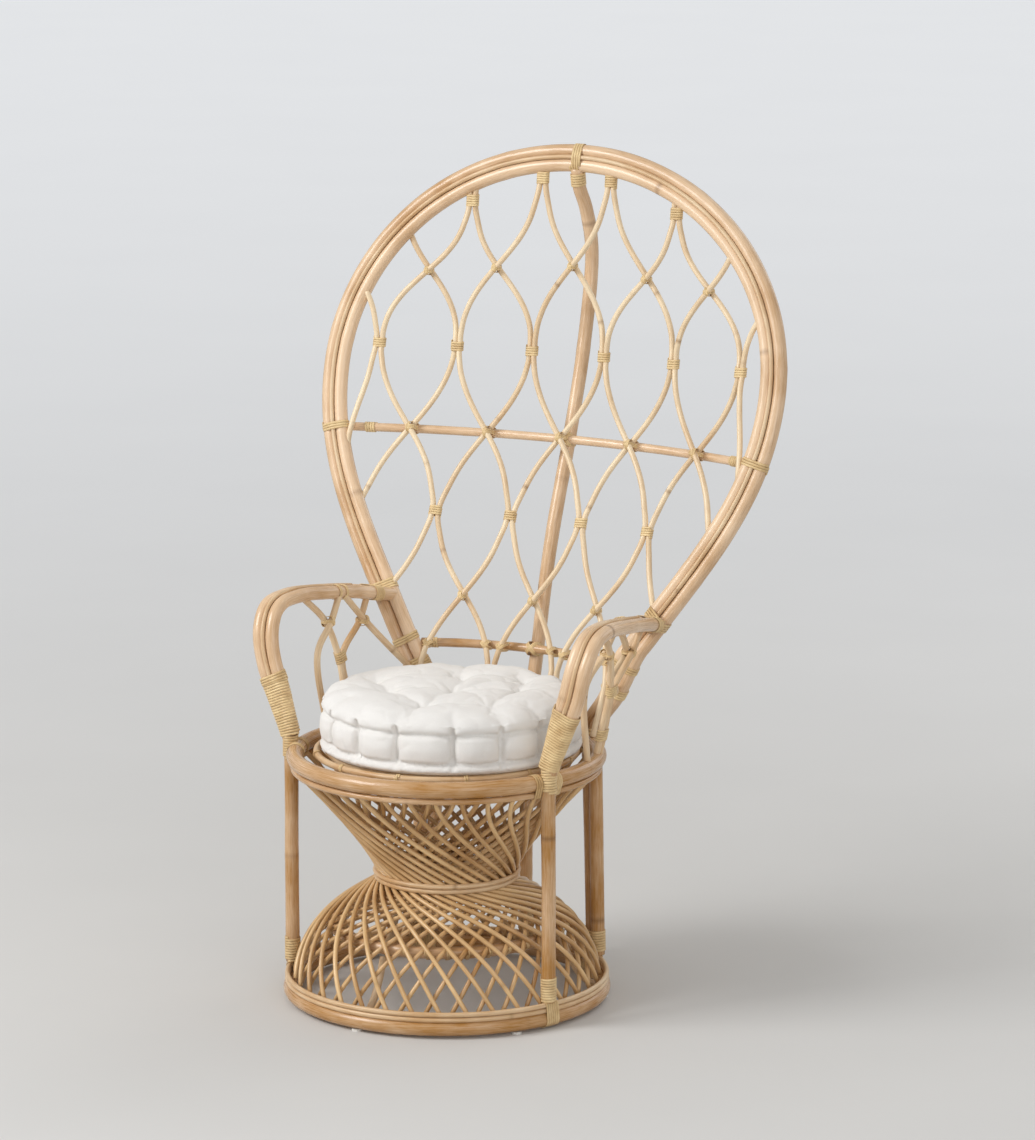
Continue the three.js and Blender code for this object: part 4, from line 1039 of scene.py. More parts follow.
def arm_points():
    foot = around(LEG_FOOT_RADIUS, FRONT_LEG_ANGLE, LEG_FOOT_HEIGHT)
    seat = around(FRONT_LEG_SEAT_RADIUS, FRONT_LEG_ANGLE, SEAT_HEIGHT)
    hoop_height = ARM_TOP_HEIGHT - ARM_REACH_DROP
    end = on_back(hoop_half_width(hoop_height, 0.0), hoop_height)
    reach = end.y - seat.y

    def splayed(share, back, z):
        return Vector((seat.x + ARM_SPLAY * share, seat.y + back, z))

    def over_top(share):
        x = seat.x + ARM_SPLAY + (end.x - seat.x - ARM_SPLAY) * share ** 1.5
        return Vector((x, seat.y + reach * share, ARM_TOP_HEIGHT - ARM_REACH_DROP * share ** 2))

    knee = ARM_TOP_HEIGHT - 0.25 * (ARM_TOP_HEIGHT - ARM_KNEE_HEIGHT)
    return [
        foot,
        foot.lerp(seat, 0.5),
        seat,
        splayed(0.06, 0, ARM_WRAP_BOTTOM),
        splayed(0.42, 0, (ARM_WRAP_BOTTOM + ARM_SPLAY_HEIGHT) / 2),
        splayed(0.78, 0, ARM_SPLAY_HEIGHT),
        splayed(0.96, 0.02 * reach, ARM_KNEE_HEIGHT),
        splayed(1.01, 0.1 * reach, knee),
        over_top(0.25),
        over_top(0.5),
        over_top(0.75),
        end,
    ]


arm_curve = Spline(arm_points())
KNEE_SHARE = 6 / 11
SEAT_SHARE = 2 / 11


def arm_share(z):
    """Share of the arm at which its upright part reaches a height."""
    return halved(lambda share: arm_curve.at(share).z < z, SEAT_SHARE, KNEE_SHARE)


def arm_spread(z):
    """Distance of the inner arm pole from the outer one."""
    low = ARM_WRAP_BOTTOM - POLE
    share = min(max((z - low) / (ARM_SPLIT_HEIGHT - low), 0.0), 1.0)
    return ARM_SKIVE + (2 * POLE + GAP - ARM_SKIVE) * share * share * (3 - 2 * share)


def arm_inner_points():
    start = arm_share(SEAT_HEIGHT + SEAT_POLE + POLE)
    points = []
    for i in range(16):
        share = start + (1 - start) * i / 15
        point = arm_curve.at(share)
        spread = arm_spread(point.z) if share < KNEE_SHARE else 2 * POLE + GAP
        points.append(Vector((point.x - spread, point.y, point.z)))
    hoop_height = ARM_TOP_HEIGHT - ARM_REACH_DROP
    points[-1] = on_back(hoop_half_width(hoop_height, HOOP_INNER_INSET), hoop_height)
    return points


def arm_groove_points():
    start = arm_share(ARM_WRAP_TOP + 9)
    points = []
    for i in range(13):
        share = start + (0.9 - start) * i / 12
        point = arm_curve.at(share)
        tangent = arm_curve.tangent(share)
        outward = Vector((0, -tangent.z, tangent.y)).normalized()
        between = Vector((point.x - POLE - GAP / 2, point.y, point.z))
        points.append(between + outward * (GROOVE_LIFT - 2 * GAP))
    return points


def arm_frame(z):
    """Middle of the outer pole, its direction, the way to the inner pole and their distance, at a height."""
    share = arm_share(z)
    middle = arm_curve.at(share)
    tangent = arm_curve.tangent(share)
    inward = Vector((-tangent.z, 0, tangent.x)).normalized()
    return middle, tangent, inward, arm_spread(middle.z) * abs(inward.x)


def winding_lines(bottom, top, turns):
    """Middle line and outward directions of cane wound round both arm poles."""
    points = []
    outs = []
    steps = 30
    for i in range(turns * steps + 1):
        z = bottom + (top - bottom) * i / (turns * steps)
        middle, tangent, inward, spread = arm_frame(z)
        across = tangent.cross(inward).normalized()
        turn = 2 * math.pi * i / steps
        out = inward * math.cos(turn) + across * math.sin(turn)
        base = middle + inward * spread if math.cos(turn) > 0 else middle
        points.append(base + out * (POLE + 0.2))
        outs.append(out)
    return points, outs


def build_arms():
    for name, side in SIDES:
        leg = Spline(mirrored(arm_curve.points, side)).spaced(7.0)
        tone = tone_with_shade_below_seat(TONES["arm"])
        rod_piece(f"front_leg_and_arm_{name}", "rattan_pole", leg, POLE, 18, joints=330.0, tone=tone)
        inner = Spline(mirrored(arm_inner_points(), side)).spaced(7.0)
        rod_piece(f"arm_inner_pole_{name}", "rattan_pole", inner, POLE - GAP, 18, tone=TONES["arm_inner"])
        groove = Spline(mirrored(arm_groove_points(), side)).spaced(6.0)
        rod_piece(f"arm_groove_rod_{name}", "rattan_rod", groove, GROOVE_ROD, 10, tone=TONES["arm_groove"])
        points, outs = winding_lines(ARM_WRAP_BOTTOM, ARM_WRAP_TOP, ARM_WRAP_TURNS)
        length = (arm_curve.at(arm_share(ARM_WRAP_TOP)) - arm_curve.at(arm_share(ARM_WRAP_BOTTOM))).length
        winding = Piece(f"arm_winding_{name}_look", "cane")
        width = length / ARM_WRAP_TURNS * 0.99
        winding.strip(mirrored(points, side), mirrored(outs, side), width, WINDING_THICKNESS)
        winding.make(f"arm_winding_{name}")


# Arm panels.

arm_inner_curve = Spline(arm_inner_points())


def arm_at(y):
    """Point of the right inner arm pole at a distance behind the middle of the seat."""
    return arm_inner_curve.at(halved(lambda share: arm_inner_curve.at(share).y < y, 0.35, 1.0))


def panel_rods():
    lift = PANEL_ROD + GAP / 2
    landing = around(SEAT_RADIUS, PANEL_BUNDLE_ANGLE, SEAT_HEIGHT)

    def on_panel(spot, out):
        y, z = spot
        top = arm_at(max(y, PANEL_FRONT_TOP))
        share = (z - SEAT_HEIGHT) / (top.z - SEAT_HEIGHT)
        return Vector((landing.x + (top.x - landing.x) * share + out, y, z))

    def under(y, out):
        point = arm_at(y)
        return Vector((point.x + out, point.y, point.z - POLE * 0.5))

    def bundled(shift):
        tied = on_panel(PANEL_BUNDLE, lift)
        return [p + Vector((0, shift, 0)) for p in (tied, landing.lerp(tied, 0.45), landing)]

    return {
        "front_bound": [under(PANEL_FRONT_TOP, lift), on_panel(PANEL_FRONT_CROSS, lift), *bundled(-lift)],
        "rear_bound": [under(PANEL_REAR_TOP, lift), on_panel(PANEL_REAR_CROSS, lift), *bundled(lift)],
        "front_free": [
            under(PANEL_MIDDLE_TOP - PANEL_MIDDLE_SPREAD, -lift),
            on_panel(PANEL_FRONT_CROSS, -lift),
            on_panel(PANEL_FRONT_BULGE, -lift),
            around(SEAT_RADIUS, PANEL_FRONT_ANGLE, SEAT_HEIGHT),
        ],
        "rear_free": [
            under(PANEL_MIDDLE_TOP + PANEL_MIDDLE_SPREAD, -lift),
            on_panel(PANEL_REAR_CROSS, -lift),
            on_panel(PANEL_REAR_BULGE, -lift - PANEL_REAR_TUCK),
            hoop_outer.at(hoop_share(PANEL_REAR_LANDING, 1)),
        ],
    }


def build_panels():
    for side_name, side in SIDES:
        for name, points in panel_rods().items():
            line = Spline(mirrored(points, side)).spaced(5.0)
            rod_piece(f"arm_panel_rod_{name}_{side_name}", "rattan_rod", line, PANEL_ROD, 12, joints=200.0)


# Bindings of split cane.

def closest(curve, point):
    """Share of a curve at its nearest spot to a point."""
    count = 300
    share = min(range(count + 1), key=lambda i: (curve.at(i / count) - point).length) / count
    step = 1 / count
    for _ in range(10):
        step /= 2
        share = min((share - step, share, share + step), key=lambda s: (curve.at(s) - point).length)
    return share


def band(piece, rods, axis, turns, width=STRIP_WIDTH):
    """Turns of cane round rods that lie side by side, each given by a point and a radius."""
    centre = sum((point for point, _ in rods), Vector()) / len(rods)
    piece.wrap(centre, axis, [(point - centre, radius + 0.5) for point, radius in rods], turns, width)


def hoop_share(z, side):
    """Share of the outer hoop pole at a height on one side."""
    right = halved(lambda share: hoop_outer.at(share).z > z, 0.5, 1.0)
    return right if side > 0 else 1 - right


def hoop_rods(share):
    """The hoop poles, and the groove rod where there is one, as points and radii."""
    outer = hoop_outer.at(share)
    inner = hoop_inner.at(closest(hoop_inner, outer))
    rods = [(outer, POLE), (inner, POLE)]
    if outer.z > GROOVE_END_HEIGHT:
        rods.append((outer.lerp(inner, 0.5) + FORWARD * GROOVE_LIFT, GROOVE_ROD))
    return rods


def hoop_band(piece, share, turns):
    band(piece, hoop_rods(share), hoop_outer.tangent(share), turns)


def lash(piece, front, rear, ways):
    """Crossed loops of cane over two rods, each a point and a radius, that cross along two ways."""
    out = (front[0] - rear[0]).normalized()
    near = front[0] + out * front[1]
    far = rear[0] - out * rear[1]
    thick = (front[1] + rear[1]) / 2 - 0.2
    first, second = (way.normalized() for way in ways)
    for way in (first + second, first - second):
        slant = max(way.normalized().cross(first).length, 0.3)
        reach = min(thick / slant, 1.5 * thick)
        across = way.cross(out).normalized()
        for shift in LASH_STRANDS:
            middle = (near + far) / 2 + across * shift * LASH_WIDTH
            piece.tie(middle, way, out, reach, (near - far).length / 2, LASH_WIDTH)


def crossings(front, rear):
    """Heights at which two rods of one column cross, between their pairs."""
    found = []
    for high, low in zip(front[:-1], front[1:]):
        above, below = min(high[1], LATTICE_ROWS[0][0] - 50) - 20, low[1] + 20
        side = math.copysign(1, swing_at(front, above) - swing_at(rear, above))
        found.append(halved(lambda z: side * (swing_at(front, z) - swing_at(rear, z)) > 0, above, below, 24))
    return found


def lattice_place(u, z, behind=0.0):
    return on_back(u, z, dish_at(u, z) + behind)


def build_back_bindings():
    piece = Piece("back_bindings", "cane", lift=0.3)
    hoop_band(piece, 0.5, 4)
    spine = spine_curve()
    top = closest(spine, on_back(*SPINE_BAND))
    band(piece, [(spine.at(top), POLE)], spine.tangent(top), 5)
    for side in (1, -1):
        for z in (UPPER_BAR_HEIGHT, LOWER_BAR_HEIGHT):
            hoop_band(piece, hoop_share(z, side), 3)
            bar = crossbar_curve(z)
            share = 0.5 + side * BAR_BAND_SHARE
            band(piece, [(bar.at(share), CROSSBAR)], bar.tangent(share), 4)
    for z in (UPPER_BAR_HEIGHT, LOWER_BAR_HEIGHT):
        bar = crossbar_curve(z)
        share = closest(spine, bar.at(0.5))
        ways = (bar.tangent(0.5), spine.tangent(share))
        lash(piece, (bar.at(0.5), CROSSBAR), (spine.at(share), POLE), ways)

    def inside(u, z, room):
        return abs(u) < hoop_half_width(z, HOOP_INNER_INSET) - room

    for row, turns in ((0, 5), (1, 4), (2, 4)):
        for gap in (-2.5, -1.5, -0.5, 0.5, 1.5, 2.5):
            height, pitch = LATTICE_ROWS[row]
            u = gap * pitch
            if row == 0 and abs(u) > pitch:
                height = LATTICE_SIDE_TOP
            z = height + (4 if row == 0 else 0)
            if inside(u, z, POLE + 2 * LATTICE_ROD):
                axis = lattice_place(u, z + 10) - lattice_place(u, z - 10)
                rods = [(lattice_place(u + s * (LATTICE_ROD + GAP), z), LATTICE_ROD) for s in (1, -1)]
                band(piece, rods, axis, turns, PAIR_STRIP_WIDTH)
    rods = lattice_rods()
    for (_, front, _), (_, rear, _) in zip(rods[0:10:2], rods[1:10:2]):
        for row, z in enumerate(crossings(front, rear)):
            u = swing_at(front, z)
            ways = [lattice_spot(nodes, depth, z + 4) - lattice_spot(nodes, depth, z - 4)
                    for nodes, depth in ((front, 1), (rear, -1))]
            behind = (lattice_spot(rear, -1, z), LATTICE_ROD)
            if row == 1:
                behind = (lattice_place(u, UPPER_BAR_HEIGHT, BAR_OFFSET), CROSSBAR)
            if inside(u, z, POLE + LATTICE_ROD):
                lash(piece, (lattice_spot(front, 1, z), LATTICE_ROD), behind, ways)
    bar = crossbar_curve(LOWER_BAR_HEIGHT)
    for _, nodes, depth in rods[:10]:
        tied = lattice_spot(nodes, depth, LOWER_BAR_HEIGHT + 2)
        if inside(tied.x, LOWER_BAR_HEIGHT, POLE + LATTICE_ROD):
            share = closest(bar, tied)
            way = tied - lattice_spot(nodes, depth, LOWER_BAR_HEIGHT - 6)
            lash(piece, (tied, LATTICE_ROD), (bar.at(share), CROSSBAR), (way, bar.tangent(share)))
    piece.make()


def ring_band(piece, radius, z, tube, angle, turns, width=STRIP_WIDTH, extra=()):
    """Turns of cane over a ring, and over the rods that lie along it."""
    axis = around(1, angle + 90, 0) - Vector()
    rods = [(around(radius, angle, z), tube)]
    rods += [(around(r, angle, height), size) for r, height, size in extra]
    band(piece, rods, Vector((axis.x, axis.y, 0)), turns, width)


def build_leg_bindings():
    piece = Piece("leg_bindings", "cane")
    beside = [(UNDER_ROD_RADIUS, UNDER_ROD_HEIGHT, UNDER_ROD)]
    base_rods = [(node_radius(name, BASE_ROD), node_height(name), BASE_ROD) for name in BASE_RODS]
    lower = arm_curve.points[0]
    upper = arm_curve.points[2]
    for side in (1, -1):
        for share in LEG_BAND_SHARES:
            middle = mirrored([lower.lerp(upper, share)], side)[0]
            band(piece, [(middle, POLE)], mirrored([upper - lower], side)[0], LEG_BAND_TURNS)
        for turn in FRONT_SEAT_BANDS:
            angle = side * (FRONT_LEG_ANGLE + turn)
            ring_band(piece, SEAT_RADIUS, SEAT_HEIGHT, SEAT_POLE, angle, 3, extra=beside)
        ring_band(piece, BASE_RADIUS, BASE_HEIGHT, BASE_POLE, side * FRONT_LEG_ANGLE, 6, extra=base_rods)
        for z, turns in ((SEAT_HEIGHT + 4, 6), (LEG_FOOT_HEIGHT + 26, 8)):
            hoop_band(piece, hoop_share(z, side), turns)
        foot = REAR_LEG_FOOT_ANGLE + BESIDE_ANGLE / 2
        ring_band(piece, BASE_RADIUS, BASE_HEIGHT, BASE_POLE, side * foot, 10, extra=base_rods)
        for turn in REAR_SEAT_BANDS:
            angle = side * (REAR_LEG_SEAT_ANGLE + BESIDE_ANGLE / 2 + turn)
            ring_band(piece, SEAT_RADIUS, SEAT_HEIGHT, SEAT_POLE, angle, 3, extra=beside)
    spine = spine_curve()
    for z, turns in ((SEAT_HEIGHT + 2, 5), (LEG_FOOT_HEIGHT + 22, 7)):
        share = closest(spine, around(REAR_LEG_FOOT_RADIUS, 180, z))
        band(piece, [(spine.at(share), POLE)], spine.tangent(share), turns)
    for angle in range(-150, 181, 30):
        ring_band(piece, INNER_RING_RADII[0], INNER_RING_HEIGHT, INNER_RING, angle + 9, 2, 3.6)
    piece.make()


def build_arm_bindings():
    rods = panel_rods()
    for name, side in SIDES:
        piece = Piece(f"arm_bindings_{name}", "cane", lift=0.15)

        def both(points):
            return mirrored(points, side)

        share = ARM_BAND_SHARE
        outer = arm_curve.at(share)
        inner = arm_inner_curve.at(closest(arm_inner_curve, outer))
        poles = [(point, POLE) for point in both([outer, inner])]
        band(piece, poles, both([arm_curve.tangent(share)])[0], 5)
        end = both([arm_curve.at(ARM_END_SHARE)])[0]
        share = hoop_share(end.z, side)
        band(piece, hoop_rods(share) + [(end, POLE)], hoop_outer.tangent(share), 4)
        middle, tangent, inward, spread = arm_frame(ARM_WRAP_TOP + 3)
        poles = [(point, POLE + 1.2) for point in both([middle, middle + inward * spread])]
        band(piece, poles, both([tangent])[0], 3)
        top = arm_at(PANEL_MIDDLE_TOP)
        tied = both([top, arm_inner_curve.tangent(closest(arm_inner_curve, top))])
        for shift in (-1, 1):
            band(piece, [(tied[0] + tied[1] * shift * 9, POLE)], tied[1], 2, 3.0)
        bound = Spline(rods["front_bound"]), Spline(rods["rear_bound"])
        for share in BUNDLE_BAND_SHARES:
            pair = both([curve.at(share) for curve in bound])
            band(piece, [(point, PANEL_ROD) for point in pair], both([bound[0].tangent(share)])[0], 5, 4.0)
        for half in ("front", "rear"):
            tied = [(Spline(rods[half + "_bound"]), 1 / 4), (Spline(rods[half + "_free"]), 1 / 3)]
            spots = both([curve.at(share) for curve, share in tied])
            ways = both([curve.tangent(share) for curve, share in tied])
            lash(piece, (spots[0], PANEL_ROD), (spots[1], PANEL_ROD), ways)
        landing = both([rods["rear_free"][-1]])[0]
        hoop_band(piece, hoop_share(landing.z + 8, side), 4)
        piece.make()


def build_weave_ties():
    piece = Piece("weave_ties", "cane")
    radius = node_radius("skirt_shoulder_ring", SHOULDER_POLE)
    height = node_height("skirt_shoulder_ring")
    for number in range(SPOKE_COUNT):
        spoke = spoke_points(-1, number)
        near = min(spoke, key=lambda p: (p.z - height) ** 2 + (math.hypot(p.x, p.y) - radius) ** 2)
        angle = math.degrees(math.atan2(near.x, -near.y))
        out = (near - around(radius, angle, height)).length
        beside = [(radius + out, height + 4, SPOKE)]
        ring_band(piece, radius, height, SHOULDER_POLE, angle, 2, 3.0, extra=beside)
    piece.make()


# Cushion.

def round_pad(middle, profile, columns):
    """Mesh of a pad turned about its upright axis, from the middle of its underside to that of its top."""
    verts = [middle + Vector((0, 0, profile[0][1]))]
    faces = []
    for radius, height in profile[1:-1]:
        for i in range(columns):
            turn = 2 * math.pi * i / columns
            verts.append(middle + Vector((radius * math.cos(turn), radius * math.sin(turn), height)))
    verts.append(middle + Vector((0, 0, profile[-1][1])))
    rows = len(profile) - 2
    for i in range(columns):
        k = (i + 1) % columns
        faces.append((0, 1 + k, 1 + i))
        top = 1 + (rows - 1) * columns
        faces.append((top + i, top + k, len(verts) - 1))
        for row in range(rows - 1):
            low = 1 + row * columns
            faces.append((low + i, low + k, low + columns + k, low + columns + i))
    mesh = bpy.data.meshes.new("cushion_start")
    mesh.from_pydata(verts, [], faces)
    return mesh


def applied(obj):
    """The object's mesh with its modifiers in it, which are then taken off."""
    shaped = obj.evaluated_get(bpy.context.evaluated_depsgraph_get())
    mesh = bpy.data.meshes.new_from_object(shaped)
    obj.modifiers.clear()
    obj.data = mesh
    return mesh


def tuft_places(draw):
    """Sewn tufts in staggered rows, with the depth of each, turned like the cushion in the photo."""
    tufts = []
    turn = math.radians(CUSHION_TURN)
    for row, count in enumerate(TUFT_COUNTS):
        for i in range(count):
            across = (i - (count - 1) / 2) * TUFT_SPACING + draw.uniform(-TUFT_STRAY, TUFT_STRAY)
            depth = (row - (len(TUFT_COUNTS) - 1) / 2) * TUFT_ROW + draw.uniform(-TUFT_STRAY, TUFT_STRAY)
            place = Vector((across * math.cos(turn) - depth * math.sin(turn),
                            across * math.sin(turn) + depth * math.cos(turn)))
            tufts.append((place, TUFT_DEPTH * draw.uniform(0.75, 1.1)))
    return tufts


def valley_lines(tufts, radius, draw):
    """Creases between neighbouring tufts, and from outer tufts to the edge, with the depth of each."""
    lines = []
    for i, (start, _) in enumerate(tufts):
        for end, _ in tufts[:i]:
            if (start - end).length < 1.3 * TUFT_SPACING:
                lines.append((start, end, VALLEY_DEPTH * draw.uniform(0.2, 1.15)))
        if start.length > 0.5 * TUFT_SPACING:
            turn = draw.uniform(-0.45, 0.45)
            out = Vector((start.x * math.cos(turn) - start.y * math.sin(turn),
                          start.x * math.sin(turn) + start.y * math.cos(turn))).normalized()
            lines.append((start, out * 0.86 * radius, VALLEY_DEPTH * draw.uniform(0.3, 0.8)))
    return lines


def stitch_places(draw):
    """Angles round the side at which the cover is drawn in, in degrees, with the depth of each."""
    pitch = 360 / STITCH_COUNT
    places = []
    for i in range(STITCH_COUNT):
        angle = CUSHION_TURN + pitch * (i + draw.uniform(-0.1, 0.1))
        places.append((angle, draw.uniform(0.8, 1.15)))
    return places


def near_line(spot, start, end):
    """Distance of a spot from a line between two tufts, and how far along the line it is."""
    way = end - start
    share = min(max((spot - start).dot(way) / way.length_squared, 0.0), 1.0)
    return (spot - start - way * share).length, share


def wandered(spot):
    """A spot moved a little, so that what is drawn at it runs unevenly."""
    near = Vector((spot.x / 62, spot.y / 62, 3.7))
    return spot + Vector((noise.noise(near), noise.noise(near + Vector((0, 0, 9.1))))) * WANDER


def cushion_draw(spot, tufts, valleys):
    """How far tufts and the valleys between them pull the top down, as puffs that meet in creases."""
    spot = wandered(spot)
    hole = max(depth * max(1 - (spot - tuft).length / TUFT_REACH, 0) ** 3 for tuft, depth in tufts)
    dip = 0.0
    for start, end, depth in valleys:
        distance, _ = near_line(spot, start, end)
        dip = max(dip, depth * max(1 - distance / VALLEY_REACH, 0) ** 2)
    return math.hypot(hole, dip)


def rim_draw(spot, radius, stitches):
    """How far the stitches pull the edge of the top down, so that it runs in scallops."""
    _, share, depth = stitch_at(spot, stitches)
    edge = math.exp(-(((radius - spot.length) / RIM_WIDTH) ** 2))
    return RIM_DROP * depth * (1 - share) ** 2 * edge


def stitch_at(spot, stitches):
    """Distance along the side from the nearest stitch, as a length and a share, and the stitch's depth."""
    angle = math.degrees(math.atan2(spot.x, -spot.y))
    away, depth = min(((abs((angle - place + 180) % 360 - 180), depth) for place, depth in stitches))
    return math.radians(away) * spot.length, min(away * STITCH_COUNT / 180, 1.0), depth


def seam_offsets(spot, height, stitches):
    """Heights above the two seams of the side band, which bow apart between stitches."""
    _, share, _ = stitch_at(spot, stitches)
    bow = (1 - (1 - share) ** 2) * SEAM_BOW
    middle = sum(BAND_SEAMS) / 2
    return [height - seam - (seam - middle) * bow for seam in BAND_SEAMS]


def stitch_pull(spot, height, stitches):
    """How far the stitches round the side draw the cover in at a place on the band."""
    across, share, depth = stitch_at(spot, stitches)
    tuck = math.exp(-((across / TUCK_WIDTH) ** 2))
    slope = (1 - share) ** 2
    pull = 0.0
    for off in seam_offsets(spot, height, stitches):
        line = math.exp(-((off / SEAM_WIDTH) ** 2))
        pinch = math.exp(-((off / (PINCH_ABOVE if off > 0 else PINCH_BELOW)) ** 2))
        pull = max(pull, SEAM_DEPTH * line * (0.6 + 0.4 * slope), depth * STITCH_DEPTH * pinch * tuck)
    if BAND_SEAMS[1] < height < BAND_SEAMS[0]:
        pull = max(pull, depth * STITCH_DEPTH * (0.45 * tuck + 0.55 * slope))
    return pull


def crease(spot, height, radius, tufts, valleys, stitches):
    """Sharp lines in mm where the cover is sewn: seams and stitches on the side, tufts and valleys on top."""
    if height > 0.8 * CUSHION_TOP:
        spot = wandered(spot)
        lines = [1.6 * math.exp(-(((spot - tuft).length / 5.5) ** 2)) for tuft, _ in tufts]
        for start, end, depth in valleys:
            distance, share = near_line(spot, start, end)
            lines.append(depth / VALLEY_DEPTH * abs(2 * share - 1) * math.exp(-((distance / 3.2) ** 2)))
        return CREASE_DEPTH * max(lines)
    if spot.length < 0.8 * radius:
        return 0.0
    across, _, depth = stitch_at(spot, stitches)
    lines = [math.exp(-((off / 2.4) ** 2)) for off in seam_offsets(spot, height, stitches)]
    if BAND_SEAMS[1] - 4 < height < BAND_SEAMS[0] + 16:
        lines.append(depth * math.exp(-((across / 2.8) ** 2)))
    return CREASE_DEPTH * max(lines)


def wrinkle(place, spot, height, tufts, stitches):
    """Small folds of the cover in mm, deeper near tufts and stitches."""
    reach, tuft = min(((spot - tuft).length, tuft) for tuft, _ in tufts)
    angle = math.atan2(spot.y - tuft.y, spot.x - tuft.x)
    star = max(0.0, math.cos(5 * angle + tuft.x)) ** 3 * math.exp(-(((reach - 13) / 13) ** 2))
    across, _, _ = stitch_at(spot, stitches)
    sewn = math.exp(-((across / 24) ** 2))
    if height > 0.8 * CUSHION_TOP:
        sewn = max(sewn * math.exp(-((reach / 120) ** 2)), math.exp(-((reach / 42) ** 2)))
    folds = (1 - abs(noise.noise(place * 21 + Vector((0, 0, 5.3))))) ** 8
    fine = noise.noise(place * 30) * 1.1 + noise.noise(place * 80) * 0.35
    return fine - WRINKLE_DEPTH * folds * (0.3 + 0.7 * sewn) - 1.5 * star


def inflate(obj, held):
    """Blows the pad up like a filled cover, held where it is sewn down and where it lies on the seat."""
    group = obj.vertex_groups.new(name="held")
    group.add(held, 1.0, "REPLACE")
    cloth = obj.modifiers.new("cloth", "CLOTH")
    cloth.settings.vertex_group_mass = "held"
    cloth.settings.use_pressure = True
    cloth.settings.uniform_pressure_force = CUSHION_PRESSURE
    cloth.settings.effector_weights.gravity = 0.0
    cloth.settings.tension_stiffness = CLOTH_STIFFNESS
    cloth.settings.compression_stiffness = CLOTH_STIFFNESS
    cloth.settings.bending_stiffness = CLOTH_BENDING
    cloth.point_cache.frame_start = 1
    cloth.point_cache.frame_end = SIM_FRAMES
    for number in range(1, SIM_FRAMES + 1):
        bpy.context.scene.frame_set(number)
    mesh = applied(obj)
    bpy.context.scene.frame_set(1)
    return mesh


def build_cushion():
    low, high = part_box("seat_cushion")
    middle = Vector(((low.x + high.x) / 2, (low.y + high.y) / 2, low.z))
    radius = (high.x - low.x) * 500
    height = (high.z - low.z) * 1000
    profile = [(out * radius, up * height) for out, up in PAD_PROFILE]
    mesh = round_pad(middle, [(r / 1000, z / 1000) for r, z in profile], PAD_COLUMNS)
    obj = bpy.data.objects.new("seat_cushion_look", mesh)
    bpy.context.scene.collection.objects.link(obj)
    remesh = obj.modifiers.new("even", "REMESH")
    remesh.mode = "VOXEL"
    remesh.voxel_size = CUSHION_VOXEL / 1000
    mesh = applied(obj)

    draw = random.Random("cushion")
    tufts = tuft_places(draw)
    valleys = valley_lines(tufts, radius, draw)
    stitches = stitch_places(draw)

    def seen_from_middle(vert):
        return Vector((vert.co.x - middle.x, vert.co.y - middle.y)) * 1000, (vert.co.z - middle.z) * 1000

    held = []
    for vert in mesh.vertices:
        spot, rise = seen_from_middle(vert)
        if rise < 3 and spot.length < 0.9 * radius:
            held.append(vert.index)
        elif rise > 0.75 * height:
            vert.co.z -= (cushion_draw(spot, tufts, valleys) + rim_draw(spot, radius, stitches)) / 1000
            if min((spot - tuft).length for tuft, _ in tufts) < TUFT_HOLD:
                held.append(vert.index)
        elif spot.length > 0.7 * radius:
            pull = stitch_pull(spot, rise, stitches)
            inward = spot.normalized() * pull / 1000
            vert.co.x -= inward.x
            vert.co.y -= inward.y
            if pull > 0.75 * STITCH_DEPTH:
                held.append(vert.index)
    before = [vert.co.copy() for vert in mesh.vertices]
    mesh = inflate(obj, held)
    for vert, start in zip(mesh.vertices, before):
        moved = vert.co - start
        if moved.length > SWELL_LIMIT / 1000:
            vert.co = start + moved.normalized() * SWELL_LIMIT / 1000
    smooth = obj.modifiers.new("smooth", "SUBSURF")
    smooth.levels = 1
    mesh = applied(obj)
    folds = []
    for vert in mesh.vertices:
        spot, rise = seen_from_middle(vert)
        fold = 0.0
        if rise > 4:
            fold = wrinkle(vert.co, spot, rise, tufts, stitches)
            fold -= crease(spot, rise, radius, tufts, valleys, stitches)
        folds.append(vert.co + vert.normal * fold / 1000)
    mesh.vertices.foreach_set("co", [number for place in folds for number in place])
    mesh.update()
    mesh.polygons.foreach_set("use_smooth", [True] * len(mesh.polygons))
    mesh.materials.clear()
    mesh.materials.append(materials["cushion_cotton"])
    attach(obj, "cushion")
    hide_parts("seat_cushion")


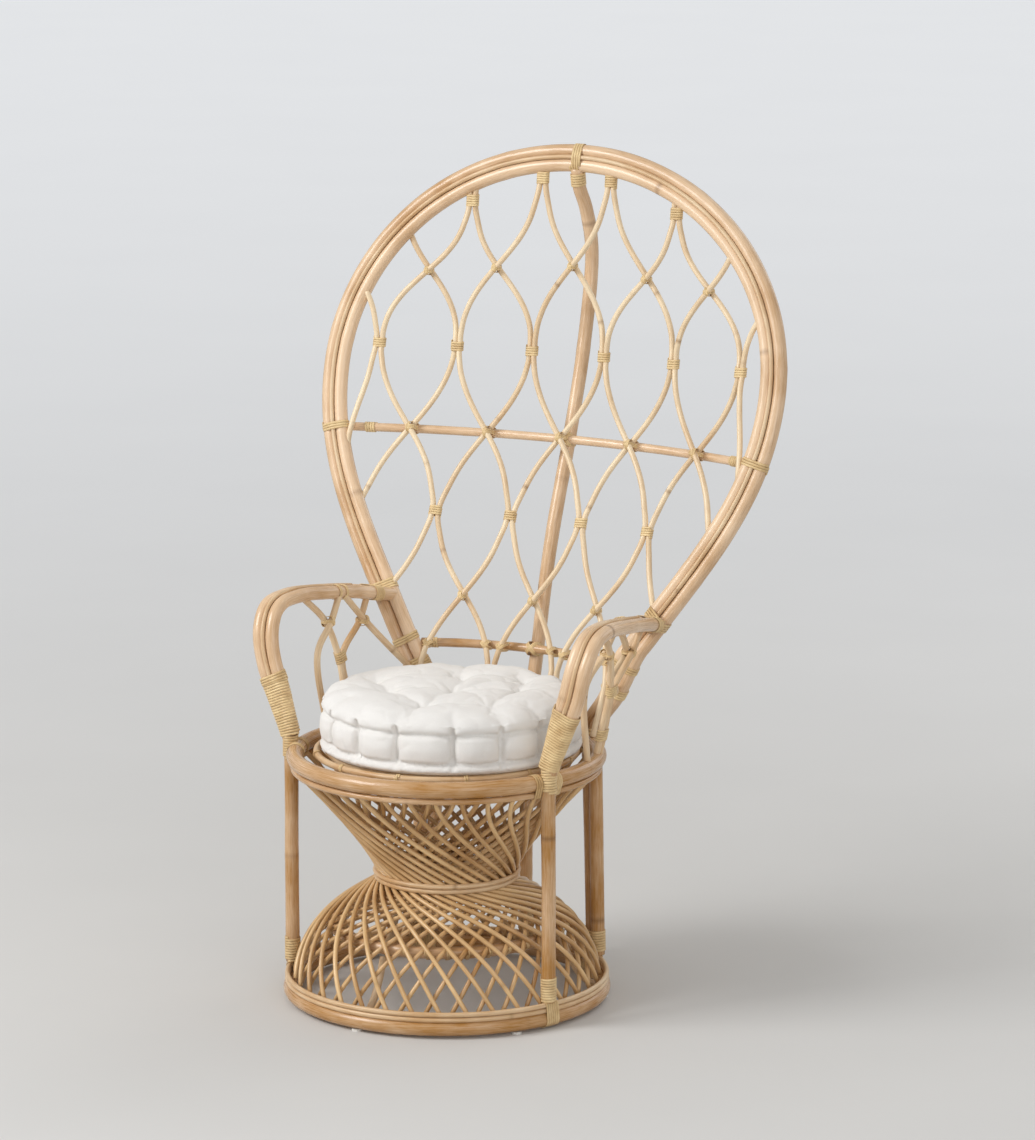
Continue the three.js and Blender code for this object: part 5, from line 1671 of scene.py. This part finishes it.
build_base()
build_weave()
build_seat()
build_hoop()
build_lattice()
build_arms()
build_panels()
build_back_bindings()
build_leg_bindings()
build_arm_bindings()
build_weave_ties()
build_cushion()

for number in range(1, 7):
    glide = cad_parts[f"floor_glide_{number}"]
    glide.data.materials.clear()
    glide.data.materials.append(materials["glide_plastic"])


# Stage, lights and camera.

def build_stage():
    bpy.ops.mesh.primitive_circle_add(vertices=96, radius=60, fill_type="NGON")
    floor = bpy.context.object
    floor.name = "floor"
    graph = Graph("floor")
    cloud = graph.noise(graph.place(), 1.4, 4.0)
    graph.set(Base_Color=graph.mix(cloud, colour(204, 203, 201), colour(212, 211, 209)), Roughness=0.8)
    x, y, _ = graph.parts(graph.place())
    reach = x * x + y * y
    far = reach / (reach + BACKGROUND_REACH ** 2)
    seen = graph.node("ShaderNodeLightPath", {}) * far
    graph.set(Emission_Color=graph.mix(seen, (0, 0, 0, 1), BACKGROUND), Emission_Strength=1.0)
    floor.data.materials.append(graph.material)
    world = bpy.data.worlds.new("studio")
    bpy.context.scene.world = world
    world.use_nodes = True
    world.node_tree.nodes["Background"].inputs["Color"].default_value = (1.0, 0.99, 0.97, 1.0)
    world.node_tree.nodes["Background"].inputs["Strength"].default_value = WORLD_STRENGTH

    def lamp(name, place, aim, size, power, spread):
        light = bpy.data.lights.new(name, "AREA")
        light.size = size
        light.energy = power
        light.spread = math.radians(spread)
        obj = bpy.data.objects.new(name, light)
        bpy.context.scene.collection.objects.link(obj)
        obj.location = place
        obj.rotation_euler = (Vector(aim) - Vector(place)).to_track_quat("-Z", "Y").to_euler()

    for name, given in LAMPS.items():
        lamp(name, *given)


def build_camera():
    camera = bpy.data.cameras.new("camera")
    camera.sensor_fit = "HORIZONTAL"
    camera.sensor_width = 36
    camera.lens = CAMERA_LENS
    obj = bpy.data.objects.new("camera", camera)
    bpy.context.scene.collection.objects.link(obj)
    obj.location = CAMERA_PLACE
    obj.rotation_euler = (math.radians(CAMERA_TILT), 0, math.radians(CAMERA_TURN))
    bpy.context.scene.camera = obj


build_stage()
build_camera()
bpy.context.scene.view_settings.view_transform = "Standard"
